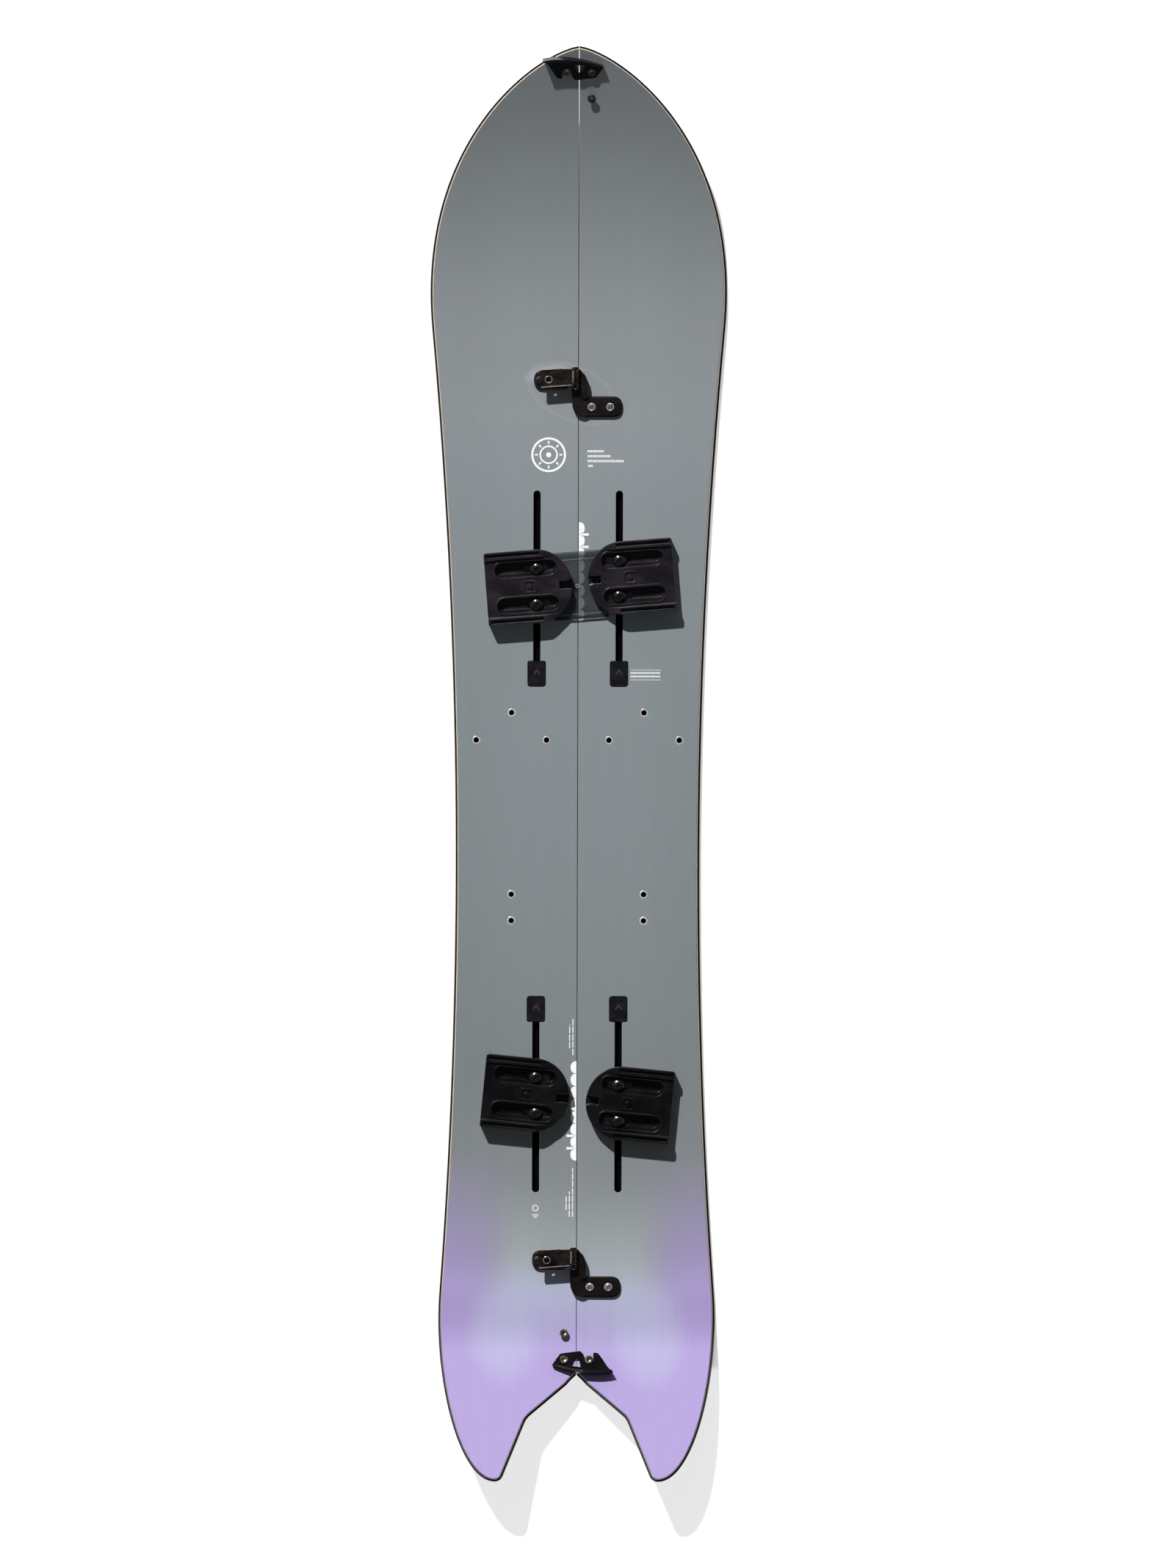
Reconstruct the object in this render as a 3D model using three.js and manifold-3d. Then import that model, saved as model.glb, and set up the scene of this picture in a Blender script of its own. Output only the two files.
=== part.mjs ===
// A splitboard: a snowboard in two halves, joined by tip, tail and board clips, with four binding pucks.
// Millimetres. +Z is up, +Y runs towards the nose and +X is the right half seen from above.
// The origin is on the seam, at the middle of the length, on the flat underside.
import * as THREE from "three";
import { mergeVertices } from "three/addons/utils/BufferGeometryUtils.js";
import Module from "manifold-3d";

const wasm = await Module();
wasm.setup();

// Board plan
const HALF_LENGTH = 730.5;
const WAIST_HALF = 124.3;
const WAIST_Y = -105;
const SIDECUT_RADIUS = 6000;
const SIDECUT_NOSE_Y = 445;
const SIDECUT_TAIL_Y = -540;
const NOSE_SHOULDER = 195;
const NOSE_PULL = new THREE.Vector2(40.3, 725);
const TAIL_SHOULDER = 86;
const TAIL_PULL_X = 120;
const TAIL_TIP_X = 83;
const TAIL_TIP_RADIUS = 9;
const TAIL_CORNER = new THREE.Vector2(50.8, -667);
const NOTCH_SHOULDER = new THREE.Vector2(10, -633);
const NOTCH_APEX_Y = -622.8;
const SEAM_GAP = 0.5;

// Board side view
const DECK = 8.8;
const TIP_THICKNESS = 5.2;
const NOSE_CURVE = [490, 690];
const NOSE_RISE = 58;
const NOSE_TAPER = [410, 620];
const TAIL_CURVE = [-546, -598];
const TAIL_RISE = 46;

// Laminate: distances in from the outline, and heights
const GAP = 0.3;
const BASE_THICKNESS = 1.3;
const EDGE_WIDTH = 2.4;
const EDGE_HEIGHT = 2;
const SIDEWALL_INSET = 0.5;
const CORE_INSET = 6.6;
const TOPSHEET_INSET = 2.2;
const TOPSHEET_THICKNESS = 0.9;

// Binding channels
const CHANNEL_X = 42;
const CHANNEL_LENGTH = 200;
const CHANNEL_WIDTH = 18;
const SLOT_WIDTH = 7.2;
const CAVITY_WIDTH = 12.4;
const RAIL_BOTTOM = 2.2;
const CAVITY_FLOOR = 3;
const CAVITY_ROOF = 6.6;
const CAP_SIZE = [18.2, 26];
const PORT_SIZE = [13.2, 20];
const FRONT_CHANNEL = { capEnd: 79, towardsTip: 1 };
const REAR_CHANNEL = { capEnd: -237, towardsTip: -1 };

// Pucks
const PUCK_LENGTH = 88;
const PUCK_HALF_WIDTH = 37.5;
const PUCK_NOSE_LENGTH = 36;
const PUCK_PLATE = 12;
const PUCK_HEIGHT = 15;
const RAIL_INNER = 29.5;
const SCREW_SPACING = 36.6;
const RECESS_FLOOR = 7;
const RECESS_HALF_WIDTH = 7.8;
const RECESS_FROM_NOSE = [14.8, 77.8];
const SLOT_HALF_WIDTH = 3.4;
const SLOT_FROM_NOSE = [18, 74];
const RELIEF_DEPTH = 31;
const RELIEF_HEIGHT = 4;
const FRONT_ANGLE = 4.5;
const REAR_ANGLE = -5.5;
const GAUGE = { from: 15, to: 71, height: 69, offset: -2, low: 1.2, high: 3.2 };

// Tip and tail clips, in the plane of the deck under them
const CLIP_PIVOT_X = 12.7;
const CLIP_SPACING = 2 * CLIP_PIVOT_X;
const NOSE_CLIP_Y = 705.5;
const TAIL_CLIP_Y = -608.4;
const PARKING_DISTANCE = 26.7;
const STUD_RADIUS = 2.9;
const STUD_HEAD_RADIUS = 4.35;
const CLIP_LOW = 0.8;
const CLIP_HIGH = 2.8;
const CLIP_WALL_HIGH = 10;
const CLIP_WALL = 2.4;
const HOOK_RADIUS = 4.3;

// Board clips: a lever on the right half's S-shaped arm hooks a lug on the left half
const FRONT_BOARD_CLIP_Y = 378.2;
const REAR_BOARD_CLIP_Y = -519.7;
const LATCH_OFFSET = 13.6;
const KEEPER_HEIGHT = 3.6;
const KEEPER_SCREWS = [13.3, 32.2];
const LATCH_BASE_HEIGHT = 3.3;
const LATCH_BASE_SCREWS = [-30.5, -39.8];
const PIN_X = -3;
const PIN_Z = 8.3;
const PIN_RADIUS = 1.5;
const LEVER_LOW = 3.6;
const LEVER_HIGH = 5.8;
const CLIP_SCREW_RADIUS = 2.5;

// Sides of a round piece, and of a quarter of a rounded corner
const ROUND = 10;
const CORNER_STEPS = 3;

// ---------------------------------------------------------------- solids

// A closed geometry as a solid: merged corners, without the flat triangles at a lathe's poles.
function solidOf(geometry) {
  const bare = geometry.clone();
  bare.deleteAttribute("normal");
  bare.deleteAttribute("uv");
  const merged = mergeVertices(bare, 1e-4);
  const index = merged.index.array;
  const triangles = [];
  for (let i = 0; i < index.length; i += 3) {
    const [a, b, c] = [index[i], index[i + 1], index[i + 2]];
    if (a !== b && b !== c && c !== a) triangles.push(a, b, c);
  }
  return new wasm.Manifold(new wasm.Mesh({
    numProp: 3,
    vertProperties: new Float32Array(merged.attributes.position.array),
    triVerts: new Uint32Array(triangles),
  }));
}

function geometryOf(solid) {
  const mesh = solid.getMesh();
  const geometry = new THREE.BufferGeometry();
  geometry.setAttribute("position", new THREE.BufferAttribute(new Float32Array(mesh.vertProperties), 3));
  geometry.setIndex(Array.from(mesh.triVerts));
  geometry.computeVertexNormals();
  return geometry;
}

function extrude(shape, low, high, segments = CORNER_STEPS) {
  const geometry = new THREE.ExtrudeGeometry(shape, {
    depth: high - low,
    bevelEnabled: false,
    curveSegments: segments,
  });
  geometry.translate(0, 0, low);
  return solidOf(geometry);
}

function box(x0, x1, y0, y1, z0, z1) {
  const geometry = new THREE.BoxGeometry(x1 - x0, y1 - y0, z1 - z0);
  geometry.translate((x0 + x1) / 2, (y0 + y1) / 2, (z0 + z1) / 2);
  return solidOf(geometry);
}

function cylinder(x, y, radius, low, high, segments = ROUND) {
  const geometry = new THREE.CylinderGeometry(radius, radius, high - low, segments);
  geometry.rotateX(Math.PI / 2);
  geometry.translate(x, y, (low + high) / 2);
  return solidOf(geometry);
}

// A cylinder along Y, for hinges.
function crossCylinder(x, z, radius, y0, y1) {
  const geometry = new THREE.CylinderGeometry(radius, radius, y1 - y0, ROUND);
  geometry.translate(x, (y0 + y1) / 2, z);
  return solidOf(geometry);
}

function lathe(profile, segments = ROUND) {
  const geometry = new THREE.LatheGeometry(profile.map(([r, z]) => new THREE.Vector2(r, z)), segments);
  geometry.rotateX(Math.PI / 2);
  return solidOf(geometry);
}

function polygon(points) {
  return new THREE.Shape(points.map(([x, y]) => new THREE.Vector2(x, y)));
}

function roundedRectangle(x0, x1, y0, y1, r) {
  const shape = new THREE.Shape();
  shape.absarc(x1 - r, y0 + r, r, -Math.PI / 2, 0);
  shape.absarc(x1 - r, y1 - r, r, 0, Math.PI / 2);
  shape.absarc(x0 + r, y1 - r, r, Math.PI / 2, Math.PI);
  shape.absarc(x0 + r, y0 + r, r, Math.PI, 1.5 * Math.PI);
  return shape;
}

function unite(solids) {
  return solids.reduce((whole, solid) => whole.add(solid));
}

function cutAll(solid, cutters) {
  return cutters.reduce((left, cutter) => left.subtract(cutter), solid);
}

// ---------------------------------------------------------------- board shape

function sidecut(y) {
  return WAIST_HALF + (y - WAIST_Y) ** 2 / (2 * SIDECUT_RADIUS);
}

function sidecutPoint(y) {
  return new THREE.Vector2(sidecut(y), y);
}

function sidecutTangent(y) {
  return new THREE.Vector2((y - WAIST_Y) / SIDECUT_RADIUS, 1);
}

// Right side of the outline, from the notch apex round the tail tip to the nose tip.
function rightOutline() {
  const tailStart = sidecutPoint(SIDECUT_TAIL_Y);
  const noseStart = sidecutPoint(SIDECUT_NOSE_Y);
  const tailPull = tailStart.clone().addScaledVector(sidecutTangent(SIDECUT_TAIL_Y), -TAIL_SHOULDER);
  const nosePull = noseStart.clone().addScaledVector(sidecutTangent(SIDECUT_NOSE_Y), NOSE_SHOULDER);
  const notch = new THREE.QuadraticBezierCurve(
    new THREE.Vector2(0, NOTCH_APEX_Y), new THREE.Vector2(4, NOTCH_APEX_Y - 3), NOTCH_SHOULDER);
  const tipCentre = new THREE.Vector2(TAIL_TIP_X, TAIL_TIP_RADIUS - HALF_LENGTH);
  const tailCurve = new THREE.CubicBezierCurve(
    new THREE.Vector2(TAIL_TIP_X, -HALF_LENGTH), new THREE.Vector2(TAIL_PULL_X, -HALF_LENGTH), tailPull, tailStart);
  const noseCurve = new THREE.CubicBezierCurve(
    noseStart, nosePull, NOSE_PULL, new THREE.Vector2(0, HALF_LENGTH));
  const points = [...notch.getPoints(3)];
  points.push(TAIL_CORNER.clone());
  for (let step = 0; step < 3; step++) {
    const angle = Math.PI * (1.14 + 0.12 * step);
    points.push(tipCentre.clone().add(new THREE.Vector2(Math.cos(angle), Math.sin(angle))
      .multiplyScalar(TAIL_TIP_RADIUS)));
  }
  points.push(...tailCurve.getPoints(9));
  const sidecutSteps = 8;
  for (let step = 1; step < sidecutSteps; step++) {
    const y = THREE.MathUtils.lerp(SIDECUT_TAIL_Y, SIDECUT_NOSE_Y, step / sidecutSteps);
    points.push(sidecutPoint(y));
  }
  points.push(...noseCurve.getPoints(14));
  return points;
}

function boardOutline() {
  const right = rightOutline();
  const left = right.slice(1, -1).reverse().map((p) => new THREE.Vector2(-p.x, p.y));
  return [...right, ...left];
}

function distanceToSegment(p, a, b) {
  const along = b.clone().sub(a);
  const t = THREE.MathUtils.clamp(p.clone().sub(a).dot(along) / along.lengthSq(), 0, 1);
  return p.distanceTo(a.clone().addScaledVector(along, t));
}

// The outline moved inwards. A moved corner that ends up too close to any side is left out.
function insetOutline(inset) {
  const outline = boardOutline();
  const count = outline.length;
  const moved = outline.map((p, i) => {
    const before = p.clone().sub(outline[(i + count - 1) % count]).normalize();
    const after = outline[(i + 1) % count].clone().sub(p).normalize();
    const inward = new THREE.Vector2(-before.y - after.y, before.x + after.x).normalize();
    const stretch = 1 / Math.max(0.4, inward.dot(new THREE.Vector2(-after.y, after.x)));
    return p.clone().addScaledVector(inward, inset * stretch);
  });
  if (inset === 0) return moved;
  const clear = moved.filter((p) => outline.every(
    (a, i) => distanceToSegment(p, a, outline[(i + 1) % count]) > inset * 0.97));
  return clear.filter((p, i) => i === 0 || p.distanceTo(clear[i - 1]) > 1);
}

function smoothStep(y, from, to) {
  return THREE.MathUtils.smoothstep(Math.abs(y - from), 0, Math.abs(to - from));
}

// Underside height: a parabola from the flat, and then a straight ramp to the tip.
function tipRise(distance, curveLength, rampLength, total) {
  if (distance <= 0) return 0;
  const k = total / (curveLength ** 2 + 2 * curveLength * rampLength);
  if (distance <= curveLength) return k * distance ** 2;
  return k * curveLength ** 2 + 2 * k * curveLength * (distance - curveLength);
}

const NOSE_LENGTHS = [NOSE_CURVE[1] - NOSE_CURVE[0], HALF_LENGTH - NOSE_CURVE[1]];
const TAIL_LENGTHS = [TAIL_CURVE[0] - TAIL_CURVE[1], HALF_LENGTH + TAIL_CURVE[1]];

function underside(y) {
  return tipRise(y - NOSE_CURVE[0], ...NOSE_LENGTHS, NOSE_RISE)
    + tipRise(TAIL_CURVE[0] - y, ...TAIL_LENGTHS, TAIL_RISE);
}

function thickness(y) {
  let taper = 0;
  if (y > NOSE_TAPER[0]) taper = smoothStep(y, ...NOSE_TAPER);
  if (y < TAIL_CURVE[0]) taper = smoothStep(y, ...TAIL_CURVE);
  return THREE.MathUtils.lerp(DECK, TIP_THICKNESS, taper);
}

function deckHeight(y) {
  return underside(y) + thickness(y);
}

const NOSE_SLOPE = (underside(HALF_LENGTH) - underside(NOSE_CURVE[1])) / NOSE_LENGTHS[1];
const TAIL_SLOPE = (underside(-HALF_LENGTH) - underside(TAIL_CURVE[1])) / TAIL_LENGTHS[1];

// Places along the length where the side view bends.
function bendStations() {
  const stations = [-HALF_LENGTH - 5];
  for (let y = TAIL_CURVE[1]; y <= TAIL_CURVE[0]; y += 26) stations.push(y);
  for (let y = NOSE_TAPER[0]; y < NOSE_CURVE[0]; y += 40) stations.push(y);
  for (let y = NOSE_CURVE[0]; y <= NOSE_CURVE[1]; y += 40) stations.push(y);
  stations.push(HALF_LENGTH + 5);
  return stations;
}

// A wide sheet that follows the side view, between two heights that depend on y.
function bentSheet(low, high) {
  const stations = bendStations();
  const side = [...stations.map((y) => [y, low(y)]), ...stations.map((y) => [y, high(y)]).reverse()];
  const halfWidth = 200;
  const geometry = new THREE.ExtrudeGeometry(polygon(side), { depth: 2 * halfWidth, bevelEnabled: false });
  geometry.translate(0, 0, -halfWidth);
  geometry.applyMatrix4(new THREE.Matrix4().makeBasis(
    new THREE.Vector3(0, 1, 0), new THREE.Vector3(0, 0, 1), new THREE.Vector3(1, 0, 0)));
  return solidOf(geometry);
}

// One half of a laminate layer. side is 1 for the right half and -1 for the left.
function layer(side, inset, seamInset, low, high) {
  const plan = extrude(new THREE.Shape(insetOutline(inset)), -20, 120);
  const seam = side * (SEAM_GAP / 2 + seamInset);
  const far = side * 300;
  const half = box(Math.min(seam, far), Math.max(seam, far), -800, 800, -20, 120);
  return plan.intersect(bentSheet(low, high)).intersect(half);
}

function ring(side, outer, inner, low, high) {
  const hole = layer(side, inner, inner, (y) => low(y) - 1, (y) => high(y) + 1);
  return layer(side, outer, outer, low, high).subtract(hole);
}

// ---------------------------------------------------------------- small parts

function domeScrew(radius, shaftRadius, shaftLength, headHeight) {
  return lathe([
    [0, -shaftLength],
    [shaftRadius, -shaftLength],
    [shaftRadius, 0],
    [radius, 0],
    [radius, headHeight * 0.3],
    [radius * 0.7, headHeight * 0.85],
    [0, headHeight],
  ]);
}

function stud() {
  const headLow = CLIP_HIGH + GAP;
  return lathe([
    [0, -3.2],
    [STUD_RADIUS, -3.2],
    [STUD_RADIUS, headLow],
    [STUD_HEAD_RADIUS, headLow],
    [STUD_HEAD_RADIUS, headLow + 1.3],
    [0, headLow + 1.3],
  ]);
}

// Tip and tail clip: the pivot is the origin and the hook takes the mate stud at +X, opening to +Y.
function hookClip() {
  const edgeStart = new THREE.Vector2(-11.8, -6.5);
  const edgePull = new THREE.Vector2(24, -20);
  const edgeEnd = new THREE.Vector2(50, -13.5);
  const edge = new THREE.QuadraticBezierCurve(edgeStart, edgePull, edgeEnd).getPoints(10);
  const hookX = CLIP_SPACING;
  const shape = new THREE.Shape(edge);
  shape.lineTo(43.9, -6.1);
  shape.lineTo(36.7, 5);
  shape.lineTo(34.4, 7);
  shape.lineTo(31.3, 7.8);
  shape.lineTo(hookX + HOOK_RADIUS, 6.6);
  shape.absarc(hookX, 0, HOOK_RADIUS, 0, -Math.PI, true);
  shape.lineTo(20.9, 2.7);
  shape.lineTo(19.4, 6.4);
  shape.lineTo(17.6, 8.6);
  shape.lineTo(14.8, 9.4);
  shape.lineTo(-1.1, 7.3);
  shape.lineTo(-4.2, 6.5);
  shape.lineTo(-11.5, -3.6);
  const plate = extrude(shape, CLIP_LOW, CLIP_HIGH, 2 * CORNER_STEPS);
  const inner = edge.map((p) => [p.x, p.y + CLIP_WALL]).reverse();
  const wallShape = polygon([...edge.map((p) => [p.x, p.y]), [edgeEnd.x - 2, edgeEnd.y + CLIP_WALL], ...inner.slice(1)]);
  const wall = extrude(wallShape, CLIP_LOW, CLIP_WALL_HIGH);
  const window = extrude(polygon([[10.3, 0.8], [7.3, -5.7], [16.6, -7], [14.9, 0.8]]), 0, CLIP_HIGH + 1);
  return cutAll(plate.add(wall), [window, cylinder(0, 0, STUD_RADIUS + GAP, 0, CLIP_HIGH + 1)]);
}

// Puck outline in its own frame: the screw pair is the origin and the round nose points to +X.
function puckShape(reach) {
  const straight = reach - PUCK_NOSE_LENGTH;
  const outer = reach - PUCK_LENGTH;
  const corner = 2;
  const shape = new THREE.Shape();
  shape.moveTo(outer, corner - PUCK_HALF_WIDTH);
  shape.lineTo(outer + corner, -PUCK_HALF_WIDTH);
  shape.absellipse(straight, 0, PUCK_NOSE_LENGTH, PUCK_HALF_WIDTH, -Math.PI / 2, Math.PI / 2);
  shape.lineTo(outer + corner, PUCK_HALF_WIDTH);
  shape.lineTo(outer, PUCK_HALF_WIDTH - corner);
  return shape;
}

function puck(reach) {
  const body = extrude(puckShape(reach), GAP, PUCK_HEIGHT, 5 * CORNER_STEPS);
  const outer = reach - PUCK_LENGTH;
  const cutters = [
    box(outer - 1, reach + 1, -RAIL_INNER, RAIL_INNER, PUCK_PLATE, PUCK_HEIGHT + 1),
    box(reach - 14, reach + 1, -PUCK_HALF_WIDTH - 1, PUCK_HALF_WIDTH + 1, PUCK_PLATE, PUCK_HEIGHT + 1),
    box(reach - RELIEF_DEPTH, reach + 1, -PUCK_HALF_WIDTH - 1, PUCK_HALF_WIDTH + 1, 0, RELIEF_HEIGHT),
    box(reach - 13, reach + 1, -4, 4, RECESS_FLOOR, PUCK_HEIGHT + 1),
  ];
  for (const y of [-SCREW_SPACING / 2, SCREW_SPACING / 2]) {
    const recess = roundedRectangle(reach - RECESS_FROM_NOSE[1], reach - RECESS_FROM_NOSE[0],
      y - RECESS_HALF_WIDTH, y + RECESS_HALF_WIDTH, RECESS_HALF_WIDTH - 0.01);
    const slot = roundedRectangle(reach - SLOT_FROM_NOSE[1], reach - SLOT_FROM_NOSE[0],
      y - SLOT_HALF_WIDTH, y + SLOT_HALF_WIDTH, SLOT_HALF_WIDTH - 0.01);
    cutters.push(extrude(recess, RECESS_FLOOR, PUCK_HEIGHT + 1));
    cutters.push(extrude(slot, 0, RECESS_FLOOR + 1));
  }
  return cutAll(body, cutters);
}

function nutBar() {
  const bar = box(-5.8, 5.8, -23, 23, CAVITY_FLOOR + GAP, CAVITY_ROOF - GAP);
  const holes = [-1, 1].map((end) => cylinder(0, end * SCREW_SPACING / 2, STUD_RADIUS + GAP, 0, DECK));
  return cutAll(bar, holes);
}

// The spans of one channel in y, as [low, high] pairs.
function channelSpans({ capEnd, towardsTip }) {
  const span = (from, to) => [capEnd + towardsTip * from, capEnd + towardsTip * to].sort((a, b) => a - b);
  return {
    rail: span(-5, CHANNEL_LENGTH + 5),
    slot: span(0, CHANNEL_LENGTH),
    cap: span(0, CAP_SIZE[1]),
    port: span(3, 3 + PORT_SIZE[1]),
    plug: span(3 + GAP, 3 + PORT_SIZE[1] - GAP),
  };
}

function channelRail(x, channel) {
  const { rail, slot, port } = channelSpans(channel);
  const top = DECK - TOPSHEET_THICKNESS - GAP;
  const body = box(x - CHANNEL_WIDTH / 2, x + CHANNEL_WIDTH / 2, ...rail, RAIL_BOTTOM, top);
  return cutAll(body, [
    box(x - CAVITY_WIDTH / 2, x + CAVITY_WIDTH / 2, ...slot, CAVITY_FLOOR, CAVITY_ROOF),
    box(x - SLOT_WIDTH / 2, x + SLOT_WIDTH / 2, ...slot, CAVITY_FLOOR, DECK),
    box(x - PORT_SIZE[0] / 2, x + PORT_SIZE[0] / 2, ...port, CAVITY_FLOOR, DECK),
  ]);
}

function channelCap(x, channel) {
  const { cap, plug } = channelSpans(channel);
  const low = DECK - TOPSHEET_THICKNESS;
  const plateShape = roundedRectangle(x - CAP_SIZE[0] / 2, x + CAP_SIZE[0] / 2, ...cap, 3.5);
  return extrude(plateShape, low, DECK - 0.1).add(box(
    x - CAVITY_WIDTH / 2 + GAP, x + CAVITY_WIDTH / 2 - GAP, ...plug, CAVITY_FLOOR + GAP, low + 0.1));
}

// Openings that one channel needs in the top sheet and in the core.
function channelCutters(x, channel) {
  const { rail, slot, cap } = channelSpans(channel);
  const around = roundedRectangle(x - CAP_SIZE[0] / 2 - GAP, x + CAP_SIZE[0] / 2 + GAP,
    cap[0] - GAP, cap[1] + GAP, 3.8);
  const topSlot = roundedRectangle(x - SLOT_WIDTH / 2, x + SLOT_WIDTH / 2, ...slot, SLOT_WIDTH / 2 - 0.01);
  const pocket = CHANNEL_WIDTH / 2 + GAP;
  return {
    topsheet: [extrude(around, RAIL_BOTTOM, DECK + 1), extrude(topSlot, RAIL_BOTTOM, DECK + 1)],
    core: [box(x - pocket, x + pocket, rail[0] - GAP, rail[1] + GAP, RAIL_BOTTOM - GAP, DECK + 1)],
  };
}

// Board clip pieces, in a frame on the seam at the deck, with the lever's side at +Y.
function keeper() {
  const tab = roundedRectangle(-2, 44.8, -LATCH_OFFSET - 10.8, 10.8 - LATCH_OFFSET, 9);
  const arm = polygon([[-6.8, -5.6], [-5.6, -12.5], [-1.7, -20.5], [3.5, -24.4], [8.4, -22], [8.4, -5], [9.9, -3], [9.9, 8],
    [8.8, 14], [6.9, 18.5], [1.5, 24.5], [-2.6, 26.6], [-6.8, 26.6]]);
  const hump = polygon([[3.6, -4.8], [9.9, -4.8], [9.9, 8], [8.8, 14], [6.9, 18.5], [3.6, 22.2]]);
  const earSpans = [[4.8, 9.6], [23.4, 26.6]];
  const ears = earSpans.flatMap(([y0, y1]) => [
    crossCylinder(PIN_X, PIN_Z, 3.3, y0, y1),
    box(PIN_X - 3.3, PIN_X + 3.3, y0, y1, 4, PIN_Z),
  ]);
  const body = unite([
    extrude(tab, GAP, KEEPER_HEIGHT),
    extrude(arm, GAP, 4.6),
    extrude(hump, GAP, 7.4),
    ...ears,
  ]);
  const holes = KEEPER_SCREWS.map((x) => cylinder(
    x, -LATCH_OFFSET, CLIP_SCREW_RADIUS + GAP, 0, KEEPER_HEIGHT + 1));
  return cutAll(body, [...holes, crossCylinder(PIN_X, PIN_Z, PIN_RADIUS + GAP, 0, 30)]);
}

function latchBase() {
  const plate = roundedRectangle(-45.5, -8.5, LATCH_OFFSET - 10.2, LATCH_OFFSET + 10.2, 9);
  const lug = box(-15.5, -12.5, LATCH_OFFSET - 6, LATCH_OFFSET + 6, 1, 6.5);
  const holes = LATCH_BASE_SCREWS.map((x) => cylinder(
    x, LATCH_OFFSET, CLIP_SCREW_RADIUS + GAP, 0, LATCH_BASE_HEIGHT + 1));
  return cutAll(extrude(plate, GAP, LATCH_BASE_HEIGHT).add(lug), holes);
}

// The lever, in a frame on its pin.
function lever() {
  const [y0, y1] = [4.8, 25];
  const plate = box(-37, 0.5, y0, y1, LEVER_LOW, LEVER_HIGH);
  const knuckle = crossCylinder(0, 0, 3, 10, 23);
  const web = box(-3, 0.5, 10, 23, 0, LEVER_LOW + 0.5);
  const tooth = box(-18.5, -15.5, LATCH_OFFSET - 6, LATCH_OFFSET + 6, 4 - PIN_Z, LEVER_LOW + 0.5);
  const access = cylinder(LATCH_BASE_SCREWS[0] - PIN_X, LATCH_OFFSET, 3.2, LEVER_LOW - 1, LEVER_HIGH + 1);
  return cutAll(unite([plate, knuckle, web, tooth]), [
    access,
    crossCylinder(0, 0, PIN_RADIUS + GAP, 0, 30),
  ]);
}

function gauge() {
  const { from, to, height, offset, low, high } = GAUGE;
  return extrude(roundedRectangle(from, to, offset - height / 2, offset + height / 2, 2), low, high);
}

// ---------------------------------------------------------------- materials and assembly

const FINISHES = {
  topsheet: [0x868e91, 0.42, 0],
  sidewall: [0xcbb79f, 0.6, 0],
  core: [0xcaa877, 0.8, 0],
  base: [0x16171a, 0.35, 0],
  steel: [0x8b8f94, 0.35, 1],
  black_nylon: [0x131216, 0.5, 0],
  channel: [0x070708, 0.5, 0],
  black_metal: [0x0d0c0e, 0.3, 0.6],
  screw: [0x0b0b0d, 0.15, 0.9],
  chrome: [0xc9cacc, 0.12, 1],
  stud: [0x6f6759, 0.3, 1],
  gauge: [0x3c4143, 0.2, 0],
};

const group = new THREE.Group();

// Adds one named piece. frame is the group that it sits in.
function place(name, solid, finish, frame = group, position = [0, 0, 0]) {
  const [color, roughness, metalness] = FINISHES[finish];
  const mesh = new THREE.Mesh(geometryOf(solid), new THREE.MeshStandardMaterial({ color, roughness, metalness }));
  mesh.name = name;
  mesh.position.set(...position);
  frame.add(mesh);
  return mesh;
}

function newFrame(x, y, z, tilt = 0, turn = 0) {
  const frame = new THREE.Group();
  frame.position.set(x, y, z);
  frame.rotation.set(tilt, 0, turn);
  group.add(frame);
  frame.updateMatrixWorld();
  return frame;
}

const SIDES = [["left", -1], ["right", 1]];
const ENDS = [
  ["front", FRONT_CHANNEL, FRONT_BOARD_CLIP_Y],
  ["rear", REAR_CHANNEL, REAR_BOARD_CLIP_Y],
];

// Holes for the clip studs: the clip turns on its pivot side and parks on the same side.
const STUD_PLACES = [
  { clip: "nose", role: "pivot", side: 1, y: NOSE_CLIP_Y, tilt: Math.atan(NOSE_SLOPE) },
  { clip: "nose", role: "mate", side: -1, y: NOSE_CLIP_Y, tilt: Math.atan(NOSE_SLOPE) },
  { clip: "nose", role: "parking", side: 1, y: NOSE_CLIP_Y - PARKING_DISTANCE, tilt: Math.atan(NOSE_SLOPE) },
  { clip: "tail", role: "pivot", side: -1, y: TAIL_CLIP_Y, tilt: -Math.atan(TAIL_SLOPE) },
  { clip: "tail", role: "mate", side: 1, y: TAIL_CLIP_Y, tilt: -Math.atan(TAIL_SLOPE) },
  { clip: "tail", role: "parking", side: -1, y: TAIL_CLIP_Y + PARKING_DISTANCE, tilt: -Math.atan(TAIL_SLOPE) },
];

function studHole({ side, y, tilt }) {
  const geometry = new THREE.CylinderGeometry(STUD_RADIUS + GAP, STUD_RADIUS + GAP, 8);
  geometry.rotateX(Math.PI / 2);
  geometry.translate(0, 0, 0.4);
  geometry.rotateX(tilt);
  geometry.translate(side * CLIP_PIVOT_X, y, deckHeight(y));
  return solidOf(geometry);
}

function clipScrewHoles(side) {
  const places = side > 0 ? KEEPER_SCREWS : LATCH_BASE_SCREWS;
  return ENDS.flatMap(([, , clipY]) => places.map((x) => cylinder(
    x, clipY - side * LATCH_OFFSET, CLIP_SCREW_RADIUS + GAP, 3, DECK + 1)));
}

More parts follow.
